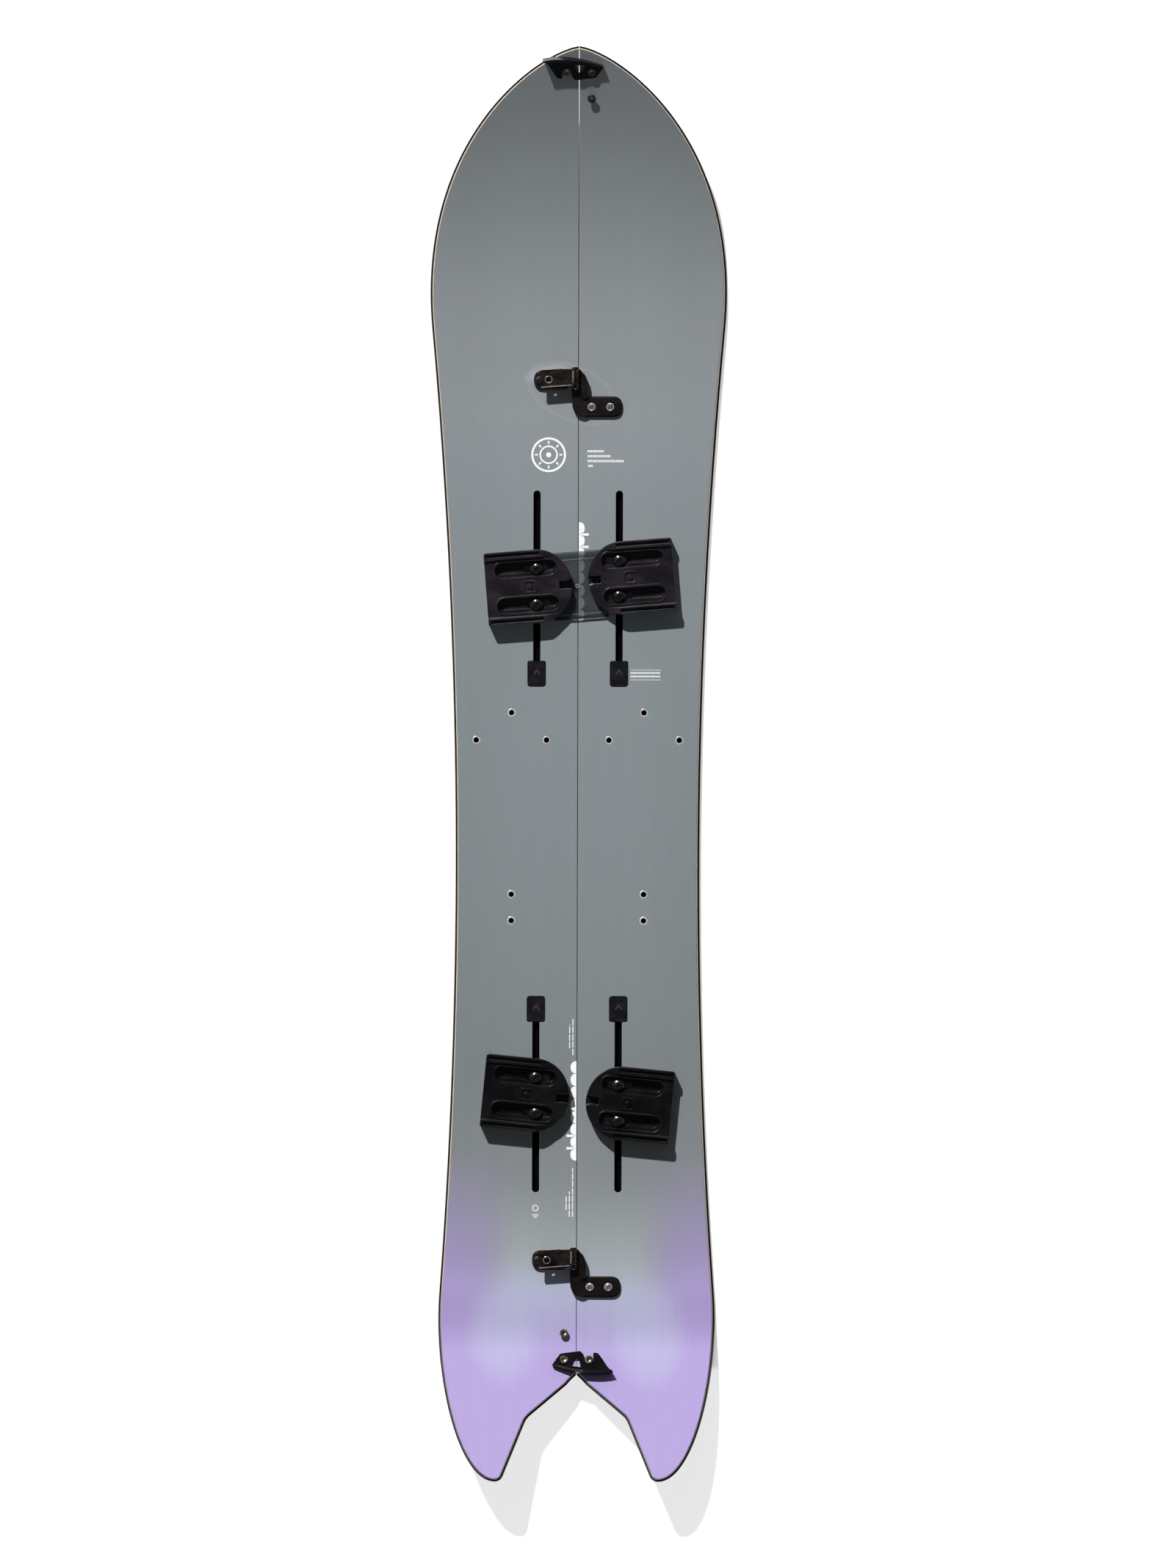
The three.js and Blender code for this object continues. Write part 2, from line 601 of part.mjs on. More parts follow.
for (const [sideName, side] of SIDES) {
  const roundHoles = [
    ...clipScrewHoles(side),
    ...STUD_PLACES.filter((place) => place.side === side).map(studHole),
  ];
  const channels = ENDS.map(([, channel]) => channelCutters(side * CHANNEL_X, channel));
  const topLow = (y) => deckHeight(y) - TOPSHEET_THICKNESS;
  const fill = (y) => topLow(y) - GAP;
  const above = (height) => (y) => underside(y) + height;

  place(`base_sheet_${sideName}`,
    layer(side, EDGE_WIDTH + GAP, EDGE_WIDTH + GAP, above(0), above(BASE_THICKNESS)), "base");
  place(`steel_edge_${sideName}`, ring(side, 0, EDGE_WIDTH, above(0), above(EDGE_HEIGHT)), "steel");
  place(`sidewall_${sideName}`,
    ring(side, SIDEWALL_INSET, CORE_INSET - GAP, above(EDGE_HEIGHT + GAP), fill), "sidewall");
  place(`core_${sideName}`, cutAll(
    layer(side, CORE_INSET, CORE_INSET, above(BASE_THICKNESS + GAP), fill),
    [...roundHoles, ...channels.flatMap((cutter) => cutter.core)]), "core");
  place(`topsheet_${sideName}`, cutAll(
    layer(side, TOPSHEET_INSET, GAP, topLow, deckHeight),
    [...roundHoles, ...channels.flatMap((cutter) => cutter.topsheet)]), "topsheet");

  for (const [endName, channel] of ENDS) {
    place(`channel_${endName}_${sideName}`, channelRail(side * CHANNEL_X, channel), "channel");
    place(`channel_cap_${endName}_${sideName}`, channelCap(side * CHANNEL_X, channel), "black_nylon");
  }
}

// Pucks: each on its channel, turned to its stance angle, held by two screws and a nut bar.
const PUCKS = [
  { name: "front_left", side: -1, y: 181.4, angle: FRONT_ANGLE, reach: 36 },
  { name: "front_right", side: 1, y: 189.8, angle: FRONT_ANGLE, reach: 32 },
  { name: "rear_left", side: -1, y: -337.7, angle: REAR_ANGLE, reach: 34 },
  { name: "rear_right", side: 1, y: -345.5, angle: REAR_ANGLE, reach: 33 },
];

for (const { name, side, y, angle, reach } of PUCKS) {
  const turn = THREE.MathUtils.degToRad(angle) + (side > 0 ? Math.PI : 0);
  const frame = newFrame(side * CHANNEL_X, y, DECK, 0, turn);
  place(`puck_${name}`, puck(reach), "black_nylon", frame);
  if (name === "front_left") place("alignment_gauge", gauge(), "gauge", frame);
  place(`nut_bar_${name}`, nutBar(), "steel", group, [side * CHANNEL_X, y, 0]);
  for (const [rowName, row] of [["nose_side", 1], ["tail_side", -1]]) {
    const shaft = DECK + RECESS_FLOOR - CAVITY_FLOOR;
    place(`puck_screw_${name}_${rowName}`, domeScrew(7.2, STUD_RADIUS, shaft, 4), "screw", group,
      [side * CHANNEL_X, y + row * SCREW_SPACING / 2, DECK + RECESS_FLOOR + GAP]);
  }
}

// Tip and tail clips with their studs.
for (const { clip, role, side, y, tilt } of STUD_PLACES) {
  const frame = newFrame(side * CLIP_PIVOT_X, y, deckHeight(y), tilt, 0);
  if (role === "pivot") {
    const turned = new THREE.Group();
    turned.rotation.z = side > 0 ? Math.PI : 0;
    frame.add(turned);
    place(`${clip}_clip`, hookClip(), "black_metal", turned);
  }
  place(`${clip}_clip_${role}_stud`, stud(), "stud", frame);
}

// Board clips.
for (const [endName, , clipY] of ENDS) {
  const frame = newFrame(0, clipY, DECK);
  place(`keeper_${endName}`, keeper(), "black_nylon", frame);
  place(`latch_base_${endName}`, latchBase(), "black_nylon", frame);
  place(`latch_lever_${endName}`, lever(), "black_metal", frame, [PIN_X, 0, PIN_Z]);
  place(`latch_pin_${endName}`, crossCylinder(0, 0, PIN_RADIUS, 4.2, 27.2), "chrome", frame, [PIN_X, 0, PIN_Z]);
  const screwRows = [
    ["keeper_screw", KEEPER_SCREWS, -LATCH_OFFSET, KEEPER_HEIGHT],
    ["latch_base_screw", LATCH_BASE_SCREWS, LATCH_OFFSET, LATCH_BASE_HEIGHT],
  ];
  for (const [rowName, places, y, height] of screwRows) {
    for (const [i, x] of places.entries()) {
      place(`${rowName}_${endName}_${i === 0 ? "inner" : "outer"}`,
        domeScrew(4.2, CLIP_SCREW_RADIUS, height + 5, 2.4), "chrome", frame, [x, y, height + GAP]);
    }
  }
}

export default group;
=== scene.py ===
# A splitboard: two board halves joined by tip, tail and board clips, with four binding pucks.
# Shapes are worked out in millimetres in the frame's axes and become metres when a piece is made.
import math

import bmesh
import bpy
import numpy as np
from mathutils import Matrix, Vector
from mathutils.geometry import delaunay_2d_cdt


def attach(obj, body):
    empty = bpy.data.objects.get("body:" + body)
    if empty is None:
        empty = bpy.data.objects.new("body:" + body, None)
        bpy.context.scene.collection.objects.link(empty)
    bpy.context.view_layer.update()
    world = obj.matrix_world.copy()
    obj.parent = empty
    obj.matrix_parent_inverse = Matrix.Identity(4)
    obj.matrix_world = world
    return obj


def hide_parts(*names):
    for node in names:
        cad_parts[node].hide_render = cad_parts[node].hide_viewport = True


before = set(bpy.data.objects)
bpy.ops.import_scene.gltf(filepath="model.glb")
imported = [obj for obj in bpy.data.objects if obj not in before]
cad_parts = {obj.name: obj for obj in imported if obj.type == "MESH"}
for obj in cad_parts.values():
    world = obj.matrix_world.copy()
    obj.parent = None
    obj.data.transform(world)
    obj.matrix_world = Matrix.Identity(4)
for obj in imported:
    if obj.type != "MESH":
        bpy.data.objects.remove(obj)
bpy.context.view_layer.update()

# ---- dimensions, in millimetres

HALF_LENGTH = 730.5
WAIST_HALF, WAIST_Y, SIDECUT_RADIUS = 124.3, -105, 6000
SIDECUT_NOSE_Y, SIDECUT_TAIL_Y = 445, -540
NOSE_SHOULDER, NOSE_PULL = 195, (40.3, 725)
TAIL_SHOULDER, TAIL_PULL_X = 86, 120
TAIL_TIP_X, TAIL_TIP_RADIUS = 83, 9
TAIL_CORNER = (50.8, -667)
NOTCH_SHOULDER, NOTCH_APEX_Y = (10, -633), -622.8
SEAM_HALF_GAP = 0.25

DECK, TIP_THICKNESS = 8.8, 5.2
NOSE_CURVE, NOSE_RISE, NOSE_TAPER = (490, 690), 58, (410, 620)
TAIL_CURVE, TAIL_RISE = (-546, -598), 46

TOPSHEET, INK = 0.9, DECK + 0.03
DECK_INSET, CORE_INSET, BASE_INSET, EDGE_HEIGHT = 3.1, 3.9, 2.7, 2.0
CHANNEL_X = 42
CHANNEL_LENGTH, SLOT_HALF = 200, 3.6
CAP_LENGTH, CAP_HALF = 26, 9.1
# Each channel: the y of its capped end, and which way it runs.
CHANNELS = {"front": (79, 1), "rear": (-237, -1)}

# Each puck: the place of its middle, its turn in degrees, and how far its nose reaches.
PUCKS = {
    "front_left": (-42, 181.4, 4.5, 36),
    "front_right": (42, 189.8, 184.5, 32),
    "rear_left": (-42, -337.7, -5.5, 34),
    "rear_right": (42, -345.5, 174.5, 33),
}
PUCK_LENGTH, PUCK_HALF_WIDTH, PUCK_NOSE = 88, 37.5, 36
PUCK_PLATE, PUCK_HEIGHT, RAIL_INNER = 12, 15, 29.5
SCREW_HALF_SPACING = 18.3
RECESS_FLOOR, RECESS_FAR, RECESS_NEAR, RECESS_HALF = 7, 77.8, 14.8, 7.8
DOME_RADIUS = 7.2
SLOT_REACH, PUCK_SLOT_HALF = 12.8, 3.4
TOUCH_GAP = 0.3

CLIP_PIVOT_X = 12.7
NOSE_CLIP_Y, TAIL_CLIP_Y, PARKING = 705.5, -608.4, 26.7
BOARD_CLIPS = {"front": 378.2, "rear": -519.7}
LATCH_OFFSET = 13.6
LATCH_SCREW_X, KEEPER_SCREW_X = (-30.5, -39.8), (13.3, 32.2)
KEEPER_TOP, KEEPER_ARM, KEEPER_HUMP, LATCH_TOP = 3.6, 4.45, 7.4, 3.3
PIN_X, PIN_Z, PIN_RADIUS, PIN_LENGTH = -3, 8.3, 1.5, 23
LEVER_LOW, LEVER_TOP = 3.6, 5.4
LEVER_HOLE = (-27.5, LATCH_OFFSET + 0.3)

# The right half's inserts. The left half mirrors them.
INSERTS = [(67.5, 52.4), (31.8, 24.4), (103.6, 24.4), (67.5, -133), (67.5, -159.8)]
INSERT_BORE = 2.7
SCALE_MARK = 12.7
FRONT_SCALE_Y, REAR_SCALE_Y, SCALE_MARKS = 145.5, -404.6, 8
EMBLEM = (-30.4, 315.7)
GAUGE_X, GAUGE_Y, GAUGE_TOP = (15, 71), (-36.5, 32.5), 3.1
SIDES = {"left": -1, "right": 1}


# ---- plane curves

def arc(cx, cy, radius, start, end, steps):
    """Points on a circle, with the angles in degrees."""
    angles = [math.radians(start + (end - start) * i / steps) for i in range(steps + 1)]
    return [(cx + radius * math.cos(a), cy + radius * math.sin(a)) for a in angles]


def circle(cx, cy, radius, steps=32):
    return arc(cx, cy, radius, 0, 360, steps)[:-1]


def bezier(points, steps):
    """A quadratic or cubic Bezier curve through its control points."""
    out = []
    for i in range(steps + 1):
        level = [Vector(p) for p in points]
        while len(level) > 1:
            level = [a.lerp(b, i / steps) for a, b in zip(level, level[1:])]
        out.append(tuple(level[0]))
    return out


def rounded(points, radius, steps=5):
    """A closed outline with its corners rounded. radius is one number, or one for each point."""
    radii = radius if isinstance(radius, (list, tuple)) else [radius] * len(points)
    out = []
    for i, (point, r) in enumerate(zip(points, radii)):
        corner = Vector(point)
        before = Vector(points[i - 1]) - corner
        after = Vector(points[(i + 1) % len(points)]) - corner
        angle = before.angle(after)
        if r <= 0 or angle > math.radians(172):
            out.append(tuple(corner))
            continue
        reach = min(r / math.tan(angle / 2), 0.47 * before.length, 0.47 * after.length)
        start = corner + before.normalized() * reach
        end = corner + after.normalized() * reach
        out += bezier([start, corner, end], steps)
    return out


def rectangle(x0, x1, y0, y1, radius, steps=6):
    return rounded([(x1, y0), (x1, y1), (x0, y1), (x0, y0)], radius, steps)


def stadium(x0, x1, y, half_width, steps=12):
    """A slot outline with round ends, along x."""
    return (arc(x1 - half_width, y, half_width, -90, 90, steps)
            + arc(x0 + half_width, y, half_width, 90, 270, steps))


# ---- board shape

def right_outline():
    """The right side of the outline, from the notch round the tail tip to the nose."""
    def side(y):
        return Vector((WAIST_HALF + (y - WAIST_Y) ** 2 / (2 * SIDECUT_RADIUS), y))

    def along(y):
        return Vector(((y - WAIST_Y) / SIDECUT_RADIUS, 1))

    tail, nose = side(SIDECUT_TAIL_Y), side(SIDECUT_NOSE_Y)
    tail_pull = tail - along(SIDECUT_TAIL_Y) * TAIL_SHOULDER
    nose_pull = nose + along(SIDECUT_NOSE_Y) * NOSE_SHOULDER
    tip = arc(TAIL_TIP_X, TAIL_TIP_RADIUS - HALF_LENGTH, TAIL_TIP_RADIUS, 205, 262, 10)
    corner = Vector(TAIL_CORNER)
    to_notch = (Vector(NOTCH_SHOULDER) - corner).normalized() * 5
    to_tip = (Vector(tip[0]) - corner).normalized() * 5
    points = bezier([(0, NOTCH_APEX_Y), (4, NOTCH_APEX_Y - 3), NOTCH_SHOULDER], 8)
    points += bezier([corner + to_notch, corner, corner + to_tip], 5)
    points += tip
    points += bezier([(TAIL_TIP_X, -HALF_LENGTH), (TAIL_PULL_X, -HALF_LENGTH), tail_pull, tail], 44)
    steps = 30
    points += [tuple(side(SIDECUT_TAIL_Y + (SIDECUT_NOSE_Y - SIDECUT_TAIL_Y) * i / steps))
               for i in range(1, steps)]
    points += bezier([nose, nose_pull, NOSE_PULL, (0, HALF_LENGTH)], 64)
    last = len(points) - 1
    return [p for i, p in enumerate(points) if i in (0, last) or p[0] > 5]


OUTLINE = [Vector(p) for p in right_outline()]
SEAM_ROWS = [718 - 11 * i for i in range(29)] + [340 - 80 * i for i in range(11)] + [-530, -546]
SEAM_ROWS += [-552 - 6 * i for i in range(10)]


def half_loop(side, inset, seam_inset):
    """One half's outline moved inwards, by inset at the rim and by seam_inset at the seam."""
    seam = SEAM_HALF_GAP + seam_inset
    loop = []
    for i, p in enumerate(OUTLINE):
        if i in (0, len(OUTLINE) - 1):
            other = OUTLINE[1] if i == 0 else OUTLINE[-2]
            step = (other - p if i == 0 else p - other).normalized()
            normal = Vector((-step.y, step.x))
            start = p + normal * inset
            t = (seam - start.x) / step.x
            loop.append((seam, start.y + step.y * t))
            continue
        before = (p - OUTLINE[i - 1]).normalized()
        after = (OUTLINE[i + 1] - p).normalized()
        normal = Vector((-before.y - after.y, before.x + after.x)).normalized()
        stretch = 1 / max(0.5, normal.dot(Vector((-after.y, after.x))))
        moved = p + normal * inset * stretch
        loop.append((max(moved.x, seam), moved.y))
    loop += [(seam, y) for y in SEAM_ROWS]
    if side > 0:
        return loop
    return [(-x, y) for x, y in reversed(loop)]


def smooth(value):
    value = min(1, max(0, value))
    return value * value * (3 - 2 * value)


def tip_rise(distance, curve, ramp, total):
    if distance <= 0:
        return 0
    k = total / (curve ** 2 + 2 * curve * ramp)
    if distance <= curve:
        return k * distance ** 2
    return k * curve ** 2 + 2 * k * curve * (distance - curve)


def underside(y):
    nose = tip_rise(y - NOSE_CURVE[0], NOSE_CURVE[1] - NOSE_CURVE[0], HALF_LENGTH - NOSE_CURVE[1], NOSE_RISE)
    tail = tip_rise(TAIL_CURVE[0] - y, TAIL_CURVE[0] - TAIL_CURVE[1], HALF_LENGTH + TAIL_CURVE[1], TAIL_RISE)
    return nose + tail


def deck(y):
    """Height of the deck's surface."""
    taper = 0
    if y > NOSE_TAPER[0]:
        taper = smooth((y - NOSE_TAPER[0]) / (NOSE_TAPER[1] - NOSE_TAPER[0]))
    if y < TAIL_CURVE[0]:
        taper = smooth((TAIL_CURVE[0] - y) / (TAIL_CURVE[0] - TAIL_CURVE[1]))
    return underside(y) + DECK + (TIP_THICKNESS - DECK) * taper


def tilt_at(y):
    return math.atan((deck(y + 1) - deck(y - 1)) / 2)


# ---- meshes

def mesh_of(name, vertices, faces):
    mesh = bpy.data.meshes.new(name)
    mesh.from_pydata([tuple(v) for v in vertices], [], faces)
    mesh.validate()
    return mesh


def link(name, data):
    """A new object in the scene from a mesh, a light or a camera."""
    obj = bpy.data.objects.new(name, data)
    bpy.context.scene.collection.objects.link(obj)
    return obj


def moved(obj, matrix):
    obj.data.transform(matrix)
    return obj


def inside(points, loop):
    """Which points lie in a closed outline, as an array of booleans."""
    p = np.array(points)
    poly = np.array(loop)
    result = np.zeros(len(p), bool)
    for (x0, y0), (x1, y1) in zip(poly, np.roll(poly, -1, 0)):
        if y0 == y1:
            continue
        crosses = (y0 > p[:, 1]) != (y1 > p[:, 1])
        result ^= crosses & (p[:, 0] < (x1 - x0) * (p[:, 1] - y0) / (y1 - y0) + x0)
    return result


def bend_points(loops):
    """Points inside a sheet where its side view curves, so that it bends smoothly."""
    rows = [NOSE_TAPER[0] + 10 * i for i in range(29)] + [TAIL_CURVE[0] - 5.2 * i for i in range(11)]
    grid = [(x, y) for y in rows for x in range(-150, 151, 10)]
    keep = inside(grid, loops[0])
    rim = np.array(loops[0])
    found = []
    for point, kept in zip(grid, keep):
        if kept and np.min(np.hypot(*(rim - point).T)) > 5:
            found.append(point)
    return found


def sheet(name, rims, profile):
    """A closed sheet. rims are functions of a distance inwards, the first one the outside;
    profile is the list of (distance inwards, height function) down the side."""
    loops = [[rim(shift) for shift, _ in profile] for rim in rims]
    top = [levels[0] for levels in loops]
    extra = bend_points(top)
    plan = [p for loop in top for p in loop] + extra
    edges, start = [], 0
    for loop in top:
        edges += [(start + i, start + (i + 1) % len(loop)) for i in range(len(loop))]
        start += len(loop)
    found, _, triangles, originals, _, _ = delaunay_2d_cdt([Vector(p) for p in plan], edges, [], 0, 1e-4)
    source = [o[0] for o in originals]
    centres = [sum((found[i] for i in t), Vector((0, 0))) / 3 for t in triangles]
    keep = inside(centres, top[0])
    for hole in top[1:]:
        keep &= ~inside(centres, hole)
    faces = [[source[i] for i in t] for t, kept in zip(triangles, keep) if kept]
    bottom_z = profile[-1][1]
    vertices = [(x, y, profile[0][1](y)) for x, y in plan]
    count = len(plan)
    lowest = [p for levels in loops for p in levels[-1]] + extra
    vertices += [(x, y, bottom_z(y)) for x, y in lowest]
    faces += [[count + i for i in reversed(t)] for t in list(faces)]
    start = 0
    for levels in loops:
        n = len(levels[0])
        rings = [list(range(start, start + n))]
        for (_, height), level in list(zip(profile, levels))[1:-1]:
            rings.append(list(range(len(vertices), len(vertices) + n)))
            vertices += [(x, y, height(y)) for x, y in level]
        rings.append(list(range(count + start, count + start + n)))
        for upper, lower in zip(rings, rings[1:]):
            faces += [[lower[i], lower[(i + 1) % n], upper[(i + 1) % n], upper[i]] for i in range(n)]
        start += n
    return mesh_of(name, vertices, faces)


def rim_ring(name, side, section):
    """A closed ring round one half. section is a loop of (rim inset, seam inset, height function)."""
    vertices, faces = [], []
    for inset, seam_inset, height in section:
        vertices += [(x, y, height(y)) for x, y in half_loop(side, inset, seam_inset)]
    n, rings = len(OUTLINE) + len(SEAM_ROWS), len(section)
    for r in range(rings):
        for i in range(n):
            a, b = r * n + i, r * n + (i + 1) % n
            c, d = (r + 1) % rings * n + (i + 1) % n, (r + 1) % rings * n + i
            faces.append([a, b, c, d])
    return mesh_of(name, vertices, faces)


def flat(points, height=INK):
    """A thin printed shape, on the deck or at another height."""
    return link("print", mesh_of("print", [(x, y, height) for x, y in points], [list(range(len(points)))]))


def prism(points, low, high, plane="xy"):
    """A straight solid over an outline in x and y, or in x and z."""
    def put(a, b, c):
        return (a, b, c) if plane == "xy" else (a, c, b)

    n = len(points)
    vertices = [put(x, y, low) for x, y in points] + [put(x, y, high) for x, y in points]
    faces = [list(reversed(range(n))), list(range(n, 2 * n))]
    faces += [[i, (i + 1) % n, n + (i + 1) % n, n + i] for i in range(n)]
    obj = link("solid", mesh_of("solid", vertices, faces))
    face_outwards(obj.data)
    return obj


def face_outwards(mesh, merge=1e-4):
    bm = bmesh.new()
    bm.from_mesh(mesh)
    if merge:
        bmesh.ops.remove_doubles(bm, verts=bm.verts, dist=merge)
    bmesh.ops.recalc_face_normals(bm, faces=bm.faces)
    bm.to_mesh(mesh)
    bm.free()


def lathe(profile, steps=48):
    """A round solid about z. profile is a list of (radius, height) that starts and ends on the axis."""
    vertices = [(0, 0, profile[0][1])]
    rings = []
    for radius, height in profile[1:-1]:
        rings.append(len(vertices))
        vertices += [(x, y, height) for x, y in circle(0, 0, radius, steps)]
    vertices.append((0, 0, profile[-1][1]))
    faces = []
    for i in range(steps):
        j = (i + 1) % steps
        faces.append([0, rings[0] + j, rings[0] + i])
        faces.append([len(vertices) - 1, rings[-1] + i, rings[-1] + j])
        faces += [[a + i, a + j, b + j, b + i] for a, b in zip(rings, rings[1:])]
    obj = link("round", mesh_of("round", vertices, faces))
    face_outwards(obj.data)
    return obj


def bake(obj):
    """The object's mesh with its modifiers applied. The object and its helpers go."""
    graph = bpy.context.evaluated_depsgraph_get()
    mesh = bpy.data.meshes.new_from_object(obj.evaluated_get(graph))
    helpers = [m.object for m in obj.modifiers if m.type == "BOOLEAN"]
    for o in [obj, *helpers]:
        bpy.data.objects.remove(o)
    return mesh


def combine(base, others, operation):
    for other in others:
        modifier = base.modifiers.new("shape", "BOOLEAN")
        modifier.operation = operation
        modifier.solver = "EXACT"
        modifier.object = other
    return link("solid", bake(base))


def unite(base, others):
    return combine(base, others, "UNION")


def cut(base, others):
    return combine(base, others, "DIFFERENCE")


def soften(obj, width, segments=3):
    """The solid with its edges rounded."""
    modifier = obj.modifiers.new("edge", "BEVEL")
    modifier.width = width
    modifier.segments = segments
    modifier.limit_method = "ANGLE"
    modifier.angle_limit = math.radians(34)
    modifier.use_clamp_overlap = False
    modifier.miter_outer = "MITER_ARC"
    return link("solid", bake(obj))


def joined(objects):
    """Several objects as one."""
    bm = bmesh.new()
    for o in objects:
        bm.from_mesh(o.data)
        bpy.data.objects.remove(o)
    mesh = bpy.data.meshes.new("joined")
    bm.to_mesh(mesh)
    bm.free()
    return link("joined", mesh)


def piece(name, source, material, body, nodes=(), matrix=None, sharp=40):
    """Names a finished shape, places it, takes it to metres and hands it to its body."""
    obj = source if isinstance(source, bpy.types.Object) else link(name, source)
    obj.name = name
    obj.data.name = name
    obj.data.transform(Matrix.Scale(0.001, 4) @ (matrix or Matrix.Identity(4)))
    face_outwards(obj.data, 0)
    obj.data.shade_smooth()
    obj.data.set_sharp_from_angle(angle=math.radians(sharp))
    normals = obj.modifiers.new("normals", "WEIGHTED_NORMAL")
    normals.keep_sharp = True
    normals.weight = 80
    obj.data.materials.clear()
    obj.data.materials.append(material)
    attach(obj, body)
    if nodes:
        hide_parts(*nodes)
    return obj


def at(x, y, z, tilt=0, turn=0):
    """A place in millimetres, turned about z by degrees, then tilted about x by radians."""
    return (Matrix.Translation((x, y, z)) @ Matrix.Rotation(tilt, 4, "X")
            @ Matrix.Rotation(math.radians(turn), 4, "Z"))


def recolour(node, material):
    """Gives a CAD node that stays visible another material."""
    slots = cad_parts[node].data.materials
    slots.clear()
    slots.append(material)


# ---- materials

class Finish:
    """A material in the making: a principled shader and the nodes that feed it."""

    def __init__(self, name, color=(0.5, 0.5, 0.5), **values):
        self.material = bpy.data.materials.new(name)
        self.material.use_nodes = True
        self.tree = self.material.node_tree
        self.shader = self.tree.nodes["Principled BSDF"]
        self.shader.inputs["Base Color"].default_value = (*color, 1)
        for key, value in values.items():
            self.shader.inputs[key.replace("_", " ")].default_value = value
        self.place = self.node("TexCoord").outputs["Object"]

    def node(self, kind, inputs=None, **props):
        made = self.tree.nodes.new("ShaderNode" + kind)
        for key, value in props.items():
            setattr(made, key, value)
        for key, value in (inputs or {}).items():
            if isinstance(value, bpy.types.NodeSocket):
                self.tree.links.new(value, made.inputs[key])
            else:
                made.inputs[key].default_value = value
        return made

    def feed(self, socket, value):
        self.tree.links.new(value, self.shader.inputs[socket])

    def stretched(self, stretch):
        return self.node("Mapping", {"Vector": self.place, "Scale": stretch}).outputs[0]

    def noise(self, scale, stretch=(1, 1, 1), detail=4.0, rough=0.55, distortion=0.0):
        return self.node("TexNoise", {
            "Vector": self.stretched(stretch), "Scale": scale, "Detail": detail,
            "Roughness": rough, "Distortion": distortion}).outputs["Fac"]

    def axis(self, index):
        return self.node("SeparateXYZ", {"Vector": self.place}).outputs[index]

    def grey(self, value):
        return self.node("CombineColor", {0: value, 1: value, 2: value}).outputs[0]

    def math(self, operation, a, b=0.0, clamp=False):
        made = self.node("Math", {0: a, 1: b}, operation=operation)
        made.use_clamp = clamp
        return made.outputs[0]

    def span(self, value, low, high, to_low=0.0, to_high=1.0, kind="SMOOTHSTEP"):
        return self.node("MapRange", {
            "Value": value, "From Min": low, "From Max": high, "To Min": to_low, "To Max": to_high},
            interpolation_type=kind).outputs["Result"]

    def mix(self, factor, a, b, blend="MIX"):
        made = self.node("Mix", {"Factor": factor}, data_type="RGBA", blend_type=blend)
        for socket, value in ((made.inputs[6], a), (made.inputs[7], b)):
            if isinstance(value, bpy.types.NodeSocket):
                self.tree.links.new(value, socket)
            else:
                socket.default_value = (*value, 1)
        return made.outputs[2]

    def tint(self, value, low, high, a, b):
        """The surface's colour: from a to b as the value goes from low to high."""
        self.feed("Base Color", self.mix(self.span(value, low, high), a, b))

    def polish(self, value, low, high):
        """The surface's roughness: from low to high over the middle of the value's range."""
        self.feed("Roughness", self.span(value, 0.3, 0.7, low, high, "LINEAR"))

    def oval(self, centre, turn, size):
        """The distance from an ellipse's centre: 1 on the ellipse."""
        own = self.node("Mapping", {
            "Vector": self.place, "Location": centre, "Rotation": (0, 0, turn), "Scale": size},
            vector_type="TEXTURE").outputs[0]
        return self.node("VectorMath", {0: own}, operation="LENGTH").outputs["Value"]

    def bump(self, height, strength, distance=0.0001, normal=None):
        inputs = {"Height": height, "Strength": strength, "Distance": distance}
        if normal is not None:
            inputs["Normal"] = normal
        out = self.node("Bump", inputs).outputs[0]
        self.feed("Normal", out)
        return out


# The deck's grey from nose to tail: (metres along the board, colour). The lighter stops at 0.43 and 0.36 m
# are a painted sheen, a soft highlight band across the deck.
DECK_SHADES_AND_SHEEN = [
    (0.70, (0.200, 0.217, 0.228)), (0.60, (0.214, 0.234, 0.246)), (0.50, (0.219, 0.237, 0.250)),
    (0.43, (0.248, 0.267, 0.281)), (0.36, (0.262, 0.283, 0.296)), (0.25, (0.242, 0.271, 0.283)),
    (0.08, (0.225, 0.257, 0.266)), (-0.10, (0.215, 0.244, 0.255)), (-0.31, (0.200, 0.222, 0.230)),
    (-0.42, (0.224, 0.241, 0.250)),
]


